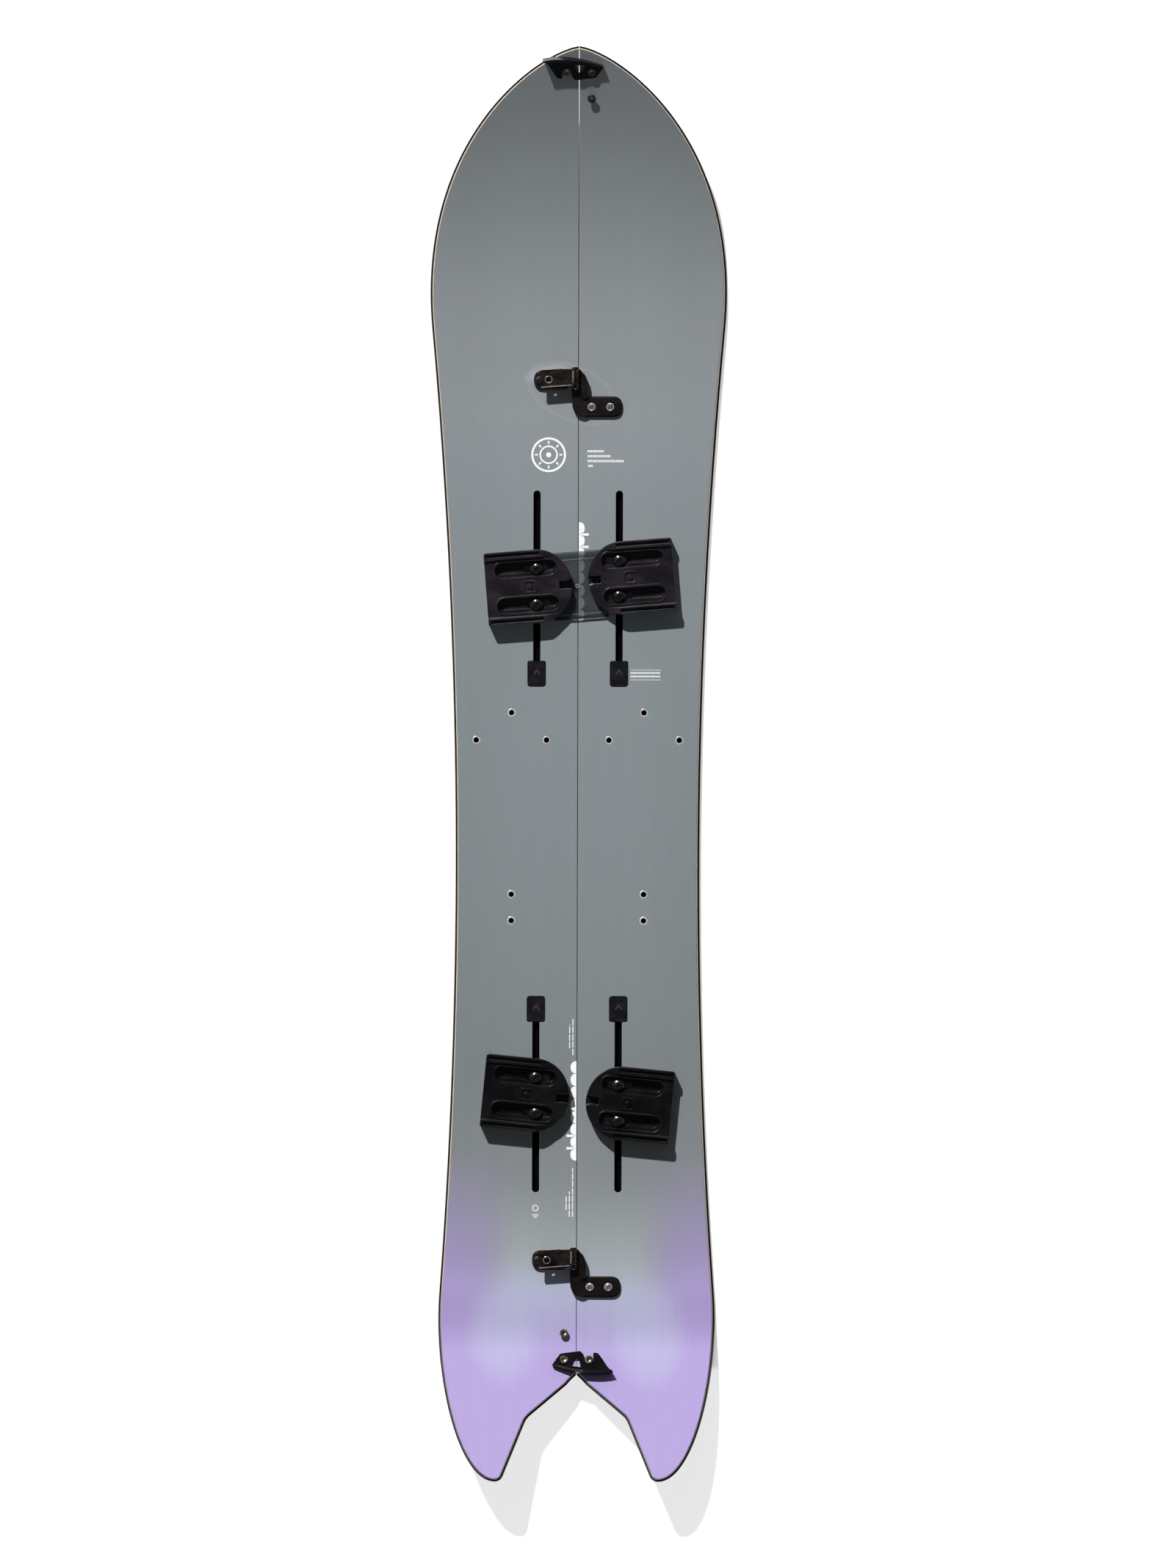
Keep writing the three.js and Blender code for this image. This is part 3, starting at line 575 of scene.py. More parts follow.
def deck_finish():
    """Satin lacquer over a faint grain: slate grey, pale blue over the tail, then lavender, with a painted
    sheen band and painted reflected light round the front board clip.
    """
    f = Finish("deck_lacquer", Roughness=0.55, Specular_IOR_Level=0.12)
    off_seam = f.math("ABSOLUTE", f.axis(0))
    wander = f.span(f.noise(5, (1, 0.7, 1), 2), 0, 1, -0.012, 0.012, "LINEAR")
    along = f.math("ADD", f.axis(1), wander)
    reach = 0.73
    # The ramp holds the deck's grey and its painted sheen band.
    shades_and_sheen = f.node("ValToRGB", {0: f.span(along, -reach, reach, kind="LINEAR")})
    stops = shades_and_sheen.color_ramp.elements
    while len(stops) < len(DECK_SHADES_AND_SHEEN):
        stops.new(0.5)
    for stop, (y, color) in zip(stops, reversed(DECK_SHADES_AND_SHEEN)):
        stop.position = (y + reach) / (2 * reach)
        stop.color = (*color, 1)
    # The grey is a little darker towards the rim.
    edge = f.span(off_seam, 0.055, 0.118)
    grey = f.mix(1.0, shades_and_sheen.outputs[0], f.grey(f.span(edge, 0, 1, 1.0, 0.95, "LINEAR")), "MULTIPLY")
    # A pale blue haze over the tail, held back at the rim.
    pale = f.mix(f.span(along, -0.49, -0.56), (0.36, 0.40, 0.41), (0.44, 0.46, 0.62))
    held = f.math("MULTIPLY", edge, f.span(along, -0.555, -0.50))
    haze = f.math("MULTIPLY", f.span(along, -0.405, -0.545), f.math("SUBTRACT", 1.0, held))
    base = f.mix(haze, grey, pale)
    # Lavender, which starts further up the board at the rim and is weaker inside a lobe of each half.
    middle = f.span(along, -0.525, -0.61)
    sides = f.span(along, -0.395, -0.55, kind="LINEAR")
    lavender = f.math("ADD", middle, f.math("MULTIPLY", f.math("SUBTRACT", sides, middle), edge))
    across = f.math("DIVIDE", f.math("SUBTRACT", off_seam, 0.075), 0.045)
    down = f.math("DIVIDE", f.math("ADD", along, 0.585), 0.06)
    far = f.math("ADD", f.math("MULTIPLY", across, across), f.math("MULTIPLY", down, down))
    lobe = f.span(far, 1.0, 0.0, 1.0, 0.5)
    base = f.mix(f.math("MULTIPLY", lavender, lobe, True), base, (0.37, 0.295, 0.555))
    # The faint grain.
    streak = f.noise(160, (1, 0.03, 1), 5, 0.6, 0.3)
    figure = f.node("TexWave", {
        "Vector": f.stretched((1, 0.10, 1)), "Scale": 26.0, "Distortion": 9.0, "Detail": 3.0,
        "Detail Scale": 1.6}, bands_direction="X").outputs["Fac"]
    grain = f.math("ADD", f.math("MULTIPLY", streak, 0.7), f.math("MULTIPLY", figure, 0.3))
    tone = f.grey(f.span(grain, 0.25, 0.75, 1.008, 1.036, "LINEAR"))
    # Painted reflected light: a faint light ring round the front board clip and a light patch behind it,
    # where the clip throws light onto the deck.
    clip_y = BOARD_CLIPS["front"] / 1000
    wear_and_halo = f.oval((-0.0064, clip_y + 0.0006, DECK / 1000), -0.42, (0.049, 0.028, 0.05))
    ring = f.math("MULTIPLY", f.span(wear_and_halo, 0.88, 0.96), f.span(wear_and_halo, 1.06, 0.98))
    patch = f.oval((-0.030, clip_y + 0.020, DECK / 1000), 0.2, (0.026, 0.011, 0.02))
    painted_reflection = f.math("ADD", f.math("MULTIPLY", ring, 0.045), f.span(patch, 1.1, 0.5, 0, 0.2))
    base = f.mix(painted_reflection, base, (0.75, 0.80, 0.83))
    f.feed("Base Color", f.mix(1.0, base, tone, "MULTIPLY"))
    f.polish(f.noise(60, (1, 0.2, 1), 3), 0.50, 0.60)
    first = f.bump(grain, 0.03, 0.0002)
    f.bump(f.noise(900, detail=2), 0.04, 0.0001, first)
    return f.material


def sidewall_finish():
    """Pale moulded sidewall with fine machining lines along it."""
    f = Finish("sidewall_plastic", Roughness=0.55, Specular_IOR_Level=0.35)
    layers = f.noise(1500, (0.05, 0.05, 1), 3)
    cloud = f.noise(45, detail=4)
    warm = f.mix(f.span(layers, 0.35, 0.65), (0.56, 0.455, 0.36), (0.66, 0.56, 0.455))
    pale = f.mix(f.span(cloud, 0.35, 0.7, 0, 0.35), warm, (0.50, 0.40, 0.31))
    tail = f.span(f.axis(1), -0.50, -0.60, 0, 0.75)
    f.feed("Base Color", f.mix(tail, pale, (0.20, 0.16, 0.24)))
    f.bump(layers, 0.2)
    return f.material


def metal_finish(name, color, dark, roughness, stretch=(1, 1, 1), scale=700, strength=0.08, metallic=1.0):
    """Metal with fine scratches, a cloudy tone and slightly uneven polish."""
    f = Finish(name, color, Metallic=metallic, Roughness=roughness)
    scratch = f.noise(scale, stretch, 6, 0.65)
    cloud = f.noise(70, detail=3)
    tone = f.math("ADD", f.math("MULTIPLY", scratch, 0.5), f.math("MULTIPLY", cloud, 0.5))
    f.tint(tone, 0.38, 0.62, dark, color)
    f.polish(tone, roughness * 0.8, roughness * 1.3)
    f.bump(scratch, strength)
    return f.material


def moulded_finish(name, color, second, roughness, mottle=35, specular=0.5):
    """Black moulded nylon: a fine spark-eroded texture under a soft mottle."""
    f = Finish(name, color, Roughness=roughness, Specular_IOR_Level=specular)
    cloud = f.noise(mottle, (1, 1.6, 1), 5, 0.6)
    f.tint(cloud, 0.38, 0.66, color, second)
    f.polish(cloud, roughness * 0.86, roughness * 1.2)
    f.bump(f.noise(1600, detail=2), 0.14)
    return f.material


def base_finish():
    """Black sintered base with a fine diagonal grind."""
    f = Finish("sintered_base", Roughness=0.32, Specular_IOR_Level=0.5)
    turned = f.node("Mapping", {
        "Vector": f.place, "Rotation": (0, 0, 0.5), "Scale": (1, 0.02, 1)}).outputs[0]
    grind = f.node("TexNoise", {"Vector": turned, "Scale": 900.0, "Detail": 3.0}).outputs["Fac"]
    wax = f.noise(18, detail=4)
    f.tint(wax, 0.35, 0.7, (0.012, 0.013, 0.016), (0.024, 0.026, 0.030))
    f.polish(wax, 0.25, 0.42)
    f.bump(grind, 0.16)
    return f.material


def wood_finish():
    """Laminated core strips."""
    f = Finish("wood_core", Roughness=0.7)
    strips = f.node("TexWave", {"Vector": f.place, "Scale": 22.0, "Distortion": 0.4},
                    bands_direction="X", wave_profile="SAW").outputs["Fac"]
    grain = f.noise(160, (1, 0.04, 1), 5)
    light = f.mix(f.span(grain, 0.35, 0.65), (0.52, 0.36, 0.19), (0.66, 0.49, 0.29))
    f.feed("Base Color", f.mix(f.span(strips, 0.1, 0.9, 0, 0.4), light, (0.42, 0.27, 0.13)))
    f.bump(grain, 0.2, 0.0002)
    return f.material


def gloss_black_finish():
    """Glossy black screw heads, with hairline polish marks."""
    f = Finish("black_chrome_screw", (0.06, 0.06, 0.063), Metallic=0.9, Roughness=0.24)
    marks = f.noise(900, (1, 0.2, 1), 5)
    f.tint(marks, 0.4, 0.7, (0.05, 0.05, 0.053), (0.09, 0.09, 0.093))
    f.polish(marks, 0.19, 0.28)
    f.bump(marks, 0.04)
    return f.material


def smoked_finish():
    """Smoky clear plastic."""
    f = Finish("smoked_plastic", (0.025, 0.030, 0.034), Roughness=0.16, Alpha=0.42)
    cloud = f.noise(50, detail=3)
    f.tint(cloud, 0.35, 0.7, (0.020, 0.025, 0.028), (0.045, 0.050, 0.055))
    f.polish(cloud, 0.12, 0.24)
    f.bump(f.noise(700, detail=2), 0.03)
    return f.material


def ink_finish(name, color, wear_and_halo):
    """Screen-printed ink, slightly uneven."""
    f = Finish(name, color, Roughness=0.5, Specular_IOR_Level=0.3)
    cover = f.noise(420, detail=4)
    f.tint(cover, 0.45, 0.78, color, wear_and_halo)
    f.bump(cover, 0.08)
    return f.material


def turned_finish():
    """Studs: brown-tinted steel with turning rings."""
    f = Finish("turned_stud", Metallic=1.0, Roughness=0.3)
    marks = f.noise(1300, (1, 0.35, 1), 4)
    cloud = f.noise(240, detail=3)
    f.tint(cloud, 0.35, 0.68, (0.10, 0.083, 0.060), (0.27, 0.24, 0.19))
    f.polish(marks, 0.2, 0.34)
    f.bump(marks, 0.12)
    return f.material


DECK_LACQUER = deck_finish()
SIDEWALL = sidewall_finish()
# The edge steel is given a near-black colour.
EDGE_STEEL = metal_finish("dark_edge_steel", (0.014, 0.012, 0.012), (0.006, 0.005, 0.005), 0.5,
                          (1, 0.06, 1), 1100, 0.1, 0.3)
BASE = base_finish()
WOOD = wood_finish()
PUCK_NYLON = {
    "front": moulded_finish("puck_nylon_front", (0.0062, 0.0042, 0.0072), (0.0150, 0.0105, 0.0155), 0.34),
    "rear": moulded_finish("puck_nylon_rear", (0.0012, 0.0011, 0.0016), (0.0040, 0.0032, 0.0048), 0.32,
                           specular=0.35),
}
CLIP_NYLON = moulded_finish("clip_nylon", (0.0042, 0.0026, 0.0020), (0.0088, 0.0060, 0.0050), 0.32)
CAP_NYLON = moulded_finish("cap_nylon", (0.0026, 0.0024, 0.0046), (0.0060, 0.0052, 0.0080), 0.45, 90, 0.25)
CHANNEL_BLACK = moulded_finish("channel_black", (0.0004, 0.0005, 0.0009), (0.0010, 0.0010, 0.0016), 0.7, 60,
                               0.04)
HOOK_BLACK = metal_finish("anodised_hook", (0.0042, 0.0030, 0.0042), (0.0020, 0.0014, 0.0020), 0.17,
                          scale=600, strength=0.03, metallic=0.1)
LEVER_CHROME = metal_finish("black_chrome_lever", (0.034, 0.022, 0.019), (0.005, 0.003, 0.003), 0.2,
                            (0.35, 1, 1), 190, 0.12, 0.35)
CHROME = metal_finish("bright_chrome", (0.84, 0.82, 0.80), (0.50, 0.47, 0.45), 0.17,
                      scale=500, strength=0.05, metallic=0.86)
DULL_BLACK = metal_finish("blackened_screw_and_bore_shade", (0.010, 0.009, 0.009), (0.004, 0.004, 0.004), 0.5,
                          scale=600, strength=0.1, metallic=0.2)
NICKEL = metal_finish("nickel_insert", (0.80, 0.78, 0.75), (0.52, 0.49, 0.46), 0.28, scale=900, metallic=0.35)
NUT_STEEL = metal_finish("zinc_nut_bar", (0.32, 0.31, 0.30), (0.14, 0.13, 0.13), 0.4, (1, 0.2, 1), 500)
SCREW_BLACK = gloss_black_finish()
STUD = turned_finish()
SMOKED = smoked_finish()
WHITE_INK = ink_finish("white_ink", (0.97, 0.97, 0.97), (0.86, 0.87, 0.87))
GREY_INK = ink_finish("grey_ink", (0.30, 0.32, 0.33), (0.20, 0.215, 0.22))
# The colour of the gauge's thin dark line and of its painted shadow band.
DARK_LINE_AND_SHADOW = ink_finish("dark_line_and_painted_shadow", (0.012, 0.013, 0.014), (0.03, 0.03, 0.03))
ARROW_INK = ink_finish("arrow_ink", (0.040, 0.036, 0.050), (0.022, 0.020, 0.028))


# ---- board halves

def insert_places(side):
    return [(side * x, y) for x, y in INSERTS]


def channel_hole(side, name, grow):
    """The opening for a channel's cap and slot, in the deck."""
    start, way = CHANNELS[name]
    half, slot = CAP_HALF + TOUCH_GAP + grow, SLOT_HALF + grow
    low, high = -TOUCH_GAP - grow, CAP_LENGTH + TOUCH_GAP + grow
    outline = [(half, low), (half, high), (slot, high)]
    outline += arc(0, CHANNEL_LENGTH - SLOT_HALF, slot, 0, 180, 14)
    outline += [(-slot, high), (-half, high), (-half, low)]
    corner = 3.8
    radii = [corner, corner, 0] + [0] * 15 + [0, corner, corner]
    points = [(side * CHANNEL_X + x, start + way * v) for x, v in rounded(outline, radii)]
    return points if way > 0 else points[::-1]


def channel_pocket(side, name, grow):
    """The opening for a whole channel, in the wood core."""
    start, way = CHANNELS[name]
    end_room, half = 5.3, 9.3 + grow
    low, high = sorted((start - way * end_room, start + way * (CHANNEL_LENGTH + end_room)))
    x = side * CHANNEL_X
    return rectangle(x - half, x + half, low - grow, high + grow, 1)


def make_half(side_name, side):
    """The laminate of one half: deck, core, base, steel edge and sidewall."""
    def above(height):
        return lambda y: underside(y) + height

    def below(depth):
        return lambda y: deck(y) - depth

    def layer(name, mesh, material, node):
        piece(f"{name}_{side_name}", mesh, material, f"{side_name}_half", [f"{node}_{side_name}"])

    rims = [lambda d: half_loop(side, DECK_INSET + d, 0.05 + d)]
    rims += [lambda d, n=n: channel_hole(side, n, d) for n in CHANNELS]
    rims += [lambda d, p=p: circle(*p, 4.45 + d, 28) for p in insert_places(side)]
    profile = [(0.42, below(0)), (0.16, below(0.1)), (0, below(0.36)), (0, below(TOPSHEET))]
    layer("deck_sheet", sheet("deck", rims, profile), DECK_LACQUER, "topsheet")

    rims = [lambda d: half_loop(side, CORE_INSET + d, CORE_INSET + d)]
    rims += [lambda d, n=n: channel_pocket(side, n, d) for n in CHANNELS]
    rims += [lambda d, p=p: circle(*p, 4.2 + d, 20) for p in insert_places(side)]
    profile = [(0, below(1.2)), (0, above(1.6))]
    layer("wood_core", sheet("core", rims, profile), WOOD, "core")

    rims = [lambda d: half_loop(side, BASE_INSET + d, BASE_INSET + d)]
    profile = [(0, above(1.3)), (0, above(0))]
    layer("running_base", sheet("base", rims, profile), BASE, "base_sheet")

    section = [
        (2.4, 2.4, above(0)), (0.25, 0.25, above(0)), (0, 0, above(0.25)), (0, 0, above(1.7)),
        (0.3, 0.3, above(EDGE_HEIGHT)), (2.4, 2.4, above(EDGE_HEIGHT)),
    ]
    layer("edge", rim_ring("edge", side, section), EDGE_STEEL, "steel_edge")

    section = [
        (3.7, 3.7, above(2.2)), (2.05, 0.5, above(2.2)), (2.0, 0.5, above(2.35)),
        (2.06, 0.5, lambda y: underside(y) + 2.2 + 0.22 * (deck(y) - underside(y) - 3.1)),
        (2.68, 0.5, below(0.62)), (2.88, 0.6, below(0.5)), (2.95, 0.7, below(0.93)), (3.7, 3.7, below(0.93)),
    ]
    layer("bevelled_sidewall", rim_ring("wall", side, section), SIDEWALL, "sidewall")


def make_inserts(side_name, side):
    """The threaded inserts of one half, and a dull black lining with thread ridges inside their bores, which
    paints the shade in the bores.
    """
    bore = INSERT_BORE
    shell = [(0, 2.6), (3.1, 2.6), (3.1, 8.25), (bore + 0.05, 8.3), (bore + 0.2, 8.76), (3.2, 8.85),
             (4.1, 8.82), (4.38, 8.62), (4.38, 7.9), (3.9, 7.85), (3.9, 2.2), (0, 2.2)]
    lining = [(0, 2.7), (bore, 2.7)]
    for turn in range(6):
        low = 3.0 + 0.8 * turn
        lining += [(bore, low), (bore - 0.28, low + 0.4)]
    lining += [(bore, 8.15), (3.05, 8.15), (3.05, 2.65), (0, 2.65)]
    # The dull black lining paints the shade inside the bores.
    for name, profile, metal in (("threaded_inserts", shell, NICKEL), ("insert_bore_shade", lining, DULL_BLACK)):
        turned = [moved(lathe(profile, 36), at(x, y, 0)) for x, y in insert_places(side)]
        piece(f"{name}_{side_name}", joined(turned), metal, f"{side_name}_half")


def make_cap(side_name, side, end):
    """The cap that closes a channel's inner end: a plate and a plug, with a sunk arrow and a finger lip."""
    start, way = CHANNELS[end]
    x = side * CHANNEL_X
    low, high = sorted((start, start + way * CAP_LENGTH))
    cap = prism(rectangle(x - CAP_HALF, x + CAP_HALF, low, high, 3.2), DECK - TOPSHEET, DECK - 0.1)
    plug_low, plug_high = sorted((start + way * 3.3, start + way * 22.7))
    cap = unite(cap, [prism(rectangle(x - 5.9, x + 5.9, plug_low, plug_high, 1), 3.3, DECK - 0.6)])
    middle = (low + high) / 2 + 1.5
    point = middle + 4.6
    arrow = [(x, point), (x - 4, middle - 1.6), (x - 2.4, middle - 2.2), (x, point - 3.1),
             (x + 2.4, middle - 2.2), (x + 4, middle - 1.6)]
    lip = rectangle(x - 6.2, x + 6.2, low + 1.8, low + 2.5, 0.3)
    cap = cut(cap, [prism(arrow, DECK - 0.42, DECK + 1), prism(lip, DECK - 0.4, DECK + 1)])
    body, where = f"{side_name}_half", f"{end}_{side_name}"
    piece(f"slot_cap_{where}", soften(cap, 0.16, 2), CAP_NYLON, body, [f"channel_cap_{where}"])
    piece(f"cap_arrow_{where}", flat(arrow, DECK - 0.4), ARROW_INK, body)


for side_name, side in SIDES.items():
    make_half(side_name, side)
    make_inserts(side_name, side)
    for end in CHANNELS:
        recolour(f"channel_{end}_{side_name}", CHANNEL_BLACK)
        make_cap(side_name, side, end)


# ---- pucks

def puck_shape(reach):
    """A puck about the middle of its two screws, pointing along x. reach is the x of its nose."""
    outer = reach - PUCK_LENGTH
    straight = reach - PUCK_NOSE
    tip = [(straight + PUCK_NOSE * math.cos(math.radians(a)), PUCK_HALF_WIDTH * math.sin(math.radians(a)))
           for a in range(-90, 91, 5)]
    corners = rounded([tip[-1], (outer, PUCK_HALF_WIDTH), (outer, -PUCK_HALF_WIDTH), tip[0]], [0, 3, 3, 0])
    body = prism(tip[:-1] + corners, TOUCH_GAP, PUCK_HEIGHT)

    cutters = [
        prism(rectangle(outer - 2, reach + 2, -RAIL_INNER, RAIL_INNER, 0), PUCK_PLATE, PUCK_HEIGHT + 1),
        prism([(reach - 30, PUCK_HEIGHT + 0.01), (reach - 17, PUCK_PLATE), (reach + 2, PUCK_PLATE),
               (reach + 2, PUCK_HEIGHT + 2), (reach - 30, PUCK_HEIGHT + 2)], -40, 40, "xz"),
        prism(rectangle(reach - 31, reach + 2, -40, 40, 0), 0, 4),
    ]
    notch = rounded([(reach - 13, -4.4), (reach - 4, -4.4), (reach + 1, -5.9), (reach + 1, 5.5),
                     (reach - 5, 3.6), (reach - 13, 3.6)], [1, 1, 0, 0, 1, 1])
    cutters.append(prism(notch, 5, PUCK_HEIGHT + 1))
    body = soften(cut(body, cutters), 0.85, 4)
    body = cut(body, [prism(rectangle(outer + 2.4, reach - 31, y0, y1, 0.4), PUCK_HEIGHT - 2.4,
                            PUCK_HEIGHT + 2) for y0, y1 in ((31.7, 35.3), (-35.3, -31.7))])

    low, high = reach - RECESS_FAR, reach - RECESS_NEAR
    rims = []
    slots = []
    for y in (-SCREW_HALF_SPACING, SCREW_HALF_SPACING):
        rims.append(prism(stadium(low - 1.9, high + 1.9, y, RECESS_HALF + 1.9), 9, PUCK_PLATE + 0.55))
        slots.append(prism(stadium(low, high, y, RECESS_HALF), RECESS_FLOOR, PUCK_HEIGHT + 1))
        slots.append(prism(stadium(low + 3.2, high - 3, y, PUCK_SLOT_HALF), 5.4, RECESS_FLOOR + 1))
        slots.append(prism(stadium(-SLOT_REACH, SLOT_REACH, y, PUCK_SLOT_HALF), -1, 6))
    mark = reach - 43
    badge = prism(rectangle(mark - 6.2, mark + 6.2, -6.2, 6.2, 1.6), 11, PUCK_PLATE + 0.45)
    body = unite(body, [*rims, badge])
    slots.append(prism(rectangle(mark - 4.9, mark + 4.9, -4.9, 4.9, 1), PUCK_PLATE - 0.8, PUCK_HEIGHT))
    body = cut(body, slots)
    diamond = rounded([(mark - 3.2, 0), (mark, -3.2), (mark + 3.2, 0), (mark, 3.2)], 0.6)
    return soften(unite(body, [prism(diamond, 11, PUCK_PLATE + 0.4)]), 0.35)


def cross_head(radius, height, shaft_radius, shaft_length, recess):
    """A domed screw with a crosshead recess. The underside of its head is at zero."""
    rise = height - 0.5
    ball = (radius ** 2 + rise ** 2) / (2 * rise)
    head = [(radius * (1 - i / 12), height - ball + math.sqrt(ball ** 2 - (radius * (1 - i / 12)) ** 2))
            for i in range(12)]
    profile = [(0, -shaft_length), (shaft_radius, -shaft_length), (shaft_radius, 0), (radius - 0.3, 0),
               (radius, 0.25), *head, (0, height)]
    screw = lathe(profile, 48)
    arms = []
    for turn in (0, 90):
        arm = prism(rectangle(-recess, recess, -recess * 0.2, recess * 0.2, 0.15), height * 0.3, height + 2)
        arms.append(moved(arm, at(0, 0, 0, 0, turn + 24)))
    return soften(cut(screw, arms), 0.08, 1)


for name, (x, y, turn, reach) in PUCKS.items():
    piece(f"binding_puck_{name}", puck_shape(reach), PUCK_NYLON[name.split("_")[0]], f"puck_{name}",
          [f"puck_{name}"], at(x, y, DECK, 0, turn), 30)
    for row, way in (("nose_side", 1), ("tail_side", -1)):
        screw = cross_head(DOME_RADIUS, height=4, shaft_radius=2.9, shaft_length=12.8, recess=2.9)
        piece(f"dome_screw_{name}_{row}", screw, SCREW_BLACK, f"carriage_{name}",
              [f"puck_screw_{name}_{row}"],
              at(x, y + way * SCREW_HALF_SPACING, DECK + RECESS_FLOOR + TOUCH_GAP))
    recolour(f"nut_bar_{name}", NUT_STEEL)


# ---- tip and tail clips

def stud_shape():
    """A turned stud: a shank in the board and above it, and a flat head with a dished top."""
    return lathe([(0, -3.2), (2.9, -3.2), (2.9, 3.1), (4.1, 3.1), (4.35, 3.3), (4.35, 4.05), (4.1, 4.36),
                  (2.3, 4.4), (2.05, 4.25), (0, 4.22)], 40)


def hook_shape():
    """The clip in its own frame: the pivot is the origin, and the hook takes the mate stud at +X."""
    edge = bezier([(-11.8, -6.5), (24, -20), (50, -13.5)], 24)
    mouth = arc(25.4, 0, 4.3, 0, -180, 18)
    back = [(43.9, -6.1), (36.7, 5), (34.2, 7.6), (29.9, 8), *mouth, (20.9, 2.7), (19.6, 6.6), (16.6, 9.5),
            (-1.1, 7.3), (-4.4, 6.3), (-11.5, -3.6)]
    radii = [1, 3, 2, 1.2, *[0] * 19, 0, 2, 2, 3, 2, 1.2]
    plate = prism(rounded(edge + back, [0.6, *[0] * 23, 0.8, *radii]), 0.8, 2.8)
    inner = [(x, y + 2.3) for x, y in edge]
    wall = prism(edge + [(48, -11.1)] + inner[::-1][1:], 0.8, 10)
    low_end = prism([(-14, 5.2), (-8, 5.6), (20, 10.02), (20, 12), (-14, 12)], -30, 8, "xz")
    window = prism(rounded([(10.1, 1.3), (6.8, -6.0), (17.0, -7.3), (15.2, 1.3)], 0.8), 0, 4)
    bore = prism(circle(0, 0, 3.2, 32), 0, 4)
    return soften(cut(unite(plate, [wall]), [window, bore, low_end]), 0.32)


for clip, clip_y, own, mate in (("nose", NOSE_CLIP_Y, "right", "left"),
                                ("tail", TAIL_CLIP_Y, "left", "right")):
    tilt = tilt_at(clip_y)
    parked_y = clip_y - SIDES[own] * PARKING
    for role, side_name, y in (("pivot", own, clip_y), ("mate", mate, clip_y), ("parking", own, parked_y)):
        place = at(SIDES[side_name] * CLIP_PIVOT_X, y, deck(y), tilt)
        piece(f"{clip}_{role}_stud_turned", stud_shape(), STUD, f"{side_name}_half",
              [f"{clip}_clip_{role}_stud"], place)
        if role == "pivot":
            turned = place @ Matrix.Rotation(math.pi if own == "right" else 0, 4, "Z")
            piece(f"{clip}_hook", hook_shape(), HOOK_BLACK, f"{clip}_clip",
                  [f"{clip}_clip"], turned, 30)


# ---- board clips

def along_y(points, y0, y1):
    """A solid along y over an outline in x and z."""
    return prism(points, y0, y1, "xz")


def keeper_shape():
    """The keeper: a tab with two screw cups, an S-shaped arm with a hump, and two ears for the pin."""
    tab = rounded([(44.8, -24.4), (44.8, -2.8), (-2, -2.8), (-2, -24.4)], [13, 10, 9, 13], 8)
    skirt = prism(tab, TOUCH_GAP, 2.3)
    inner = rounded([(43.6, -22.2), (43.6, -4), (-1, -4), (-1, -22.2)], [12, 9, 8, 12], 8)
    top = prism(inner, 2.2, KEEPER_TOP)
    arm = rounded([(-6.8, -5.6), (-6.3, -13.5), (-3.6, -21), (4, -24.4), (9.5, -22), (12, -8), (9.7, -2.8),
                   (9.9, 8), (8.8, 14), (6.9, 18.5), (1.5, 24.5), (-2.6, 26.6), (-6.8, 26.6)],
                  [6, 12, 8, 6, 3, 3, 2, 6, 6, 6, 4, 2, 2])
    hump = rounded([(3.6, -4.8), (9.4, -4.8), (9.9, 8), (8.8, 14), (6.9, 18.5), (3.6, 22.2)],
                   [2, 3, 6, 6, 5, 2])
    parts = [soften(skirt, 0.4), soften(prism(hump, TOUCH_GAP, KEEPER_HUMP), 0.5)]
    for solid in (top, prism(arm, TOUCH_GAP, KEEPER_ARM)):
        cups = [prism(circle(x, -LATCH_OFFSET, 4.7, 32), 2.9, 5) for x in KEEPER_SCREW_X]
        parts.append(soften(cut(solid, cups), 0.4))
    for y0, y1 in ((4.8, 9.6), (23.4, 26.6)):
        ear = arc(PIN_X, PIN_Z, 3.3, 0, 180, 16) + [(PIN_X - 3.3, 4), (PIN_X + 3.3, 4)]
        parts.append(soften(along_y(ear, y0, y1), 0.35))
    return joined(parts)


def latch_base_shape():
    """The stepped plate under the lever, with the lug that the lever hooks."""
    plate = prism(rectangle(-45.5, -8.5, LATCH_OFFSET - 10.2, LATCH_OFFSET + 10.2, 9.5), TOUCH_GAP, 2.4)
    step = prism(rectangle(-44.3, -9.4, LATCH_OFFSET - 9, LATCH_OFFSET + 9, 8.5), 2.3, LATCH_TOP)
    lug = prism(rectangle(-15.5, -12.5, LATCH_OFFSET - 6, LATCH_OFFSET + 6, 0.6), 1, 6.5)
    return soften(unite(plate, [step, lug]), 0.35)


def lever_shape():
    """The lever in its pin's frame: a pressed plate with turned-down edges and a rolled knuckle."""
    plate = rounded([(-36.4, 4.9), (-0.6, 7.6), (-0.6, 24.9), (-12, 24.6), (-14, 25), (-36.2, 23.4)],
                    [1.6, 0.8, 0.8, 0.6, 0.6, 1.6])
    parts = [
        along_y(circle(0, 0, 3.05, 30), 10, 23),
        prism(rectangle(-3, 0.4, 10.1, 22.9, 0.4), 0, 4),
        prism(rectangle(-18.5, -15.5, LATCH_OFFSET - 6, LATCH_OFFSET + 6, 0.4), 4 - PIN_Z, 4),
        prism(rounded([(-35.8, 5.0), (-3.4, 7.5), (-3.4, 8.6), (-35.8, 6.1)], 0.3), 2.2, 4),
    ]
    body = prism(plate, LEVER_LOW, LEVER_TOP)
    cutters = [prism(circle(*LEVER_HOLE, 3, 32), 4.6, 7), prism(circle(*LEVER_HOLE, 1.7, 24), 3, 7)]
    dimples = ((-17.5, 12.2), (-12, 15.6), (-8.2, 12.4), (-13.2, 20.2))
    cutters += [prism(circle(x, y, 1.0, 16), LEVER_TOP - 0.25, 7) for x, y in dimples]
    return joined([soften(part, 0.28) for part in (cut(body, cutters), *parts)])


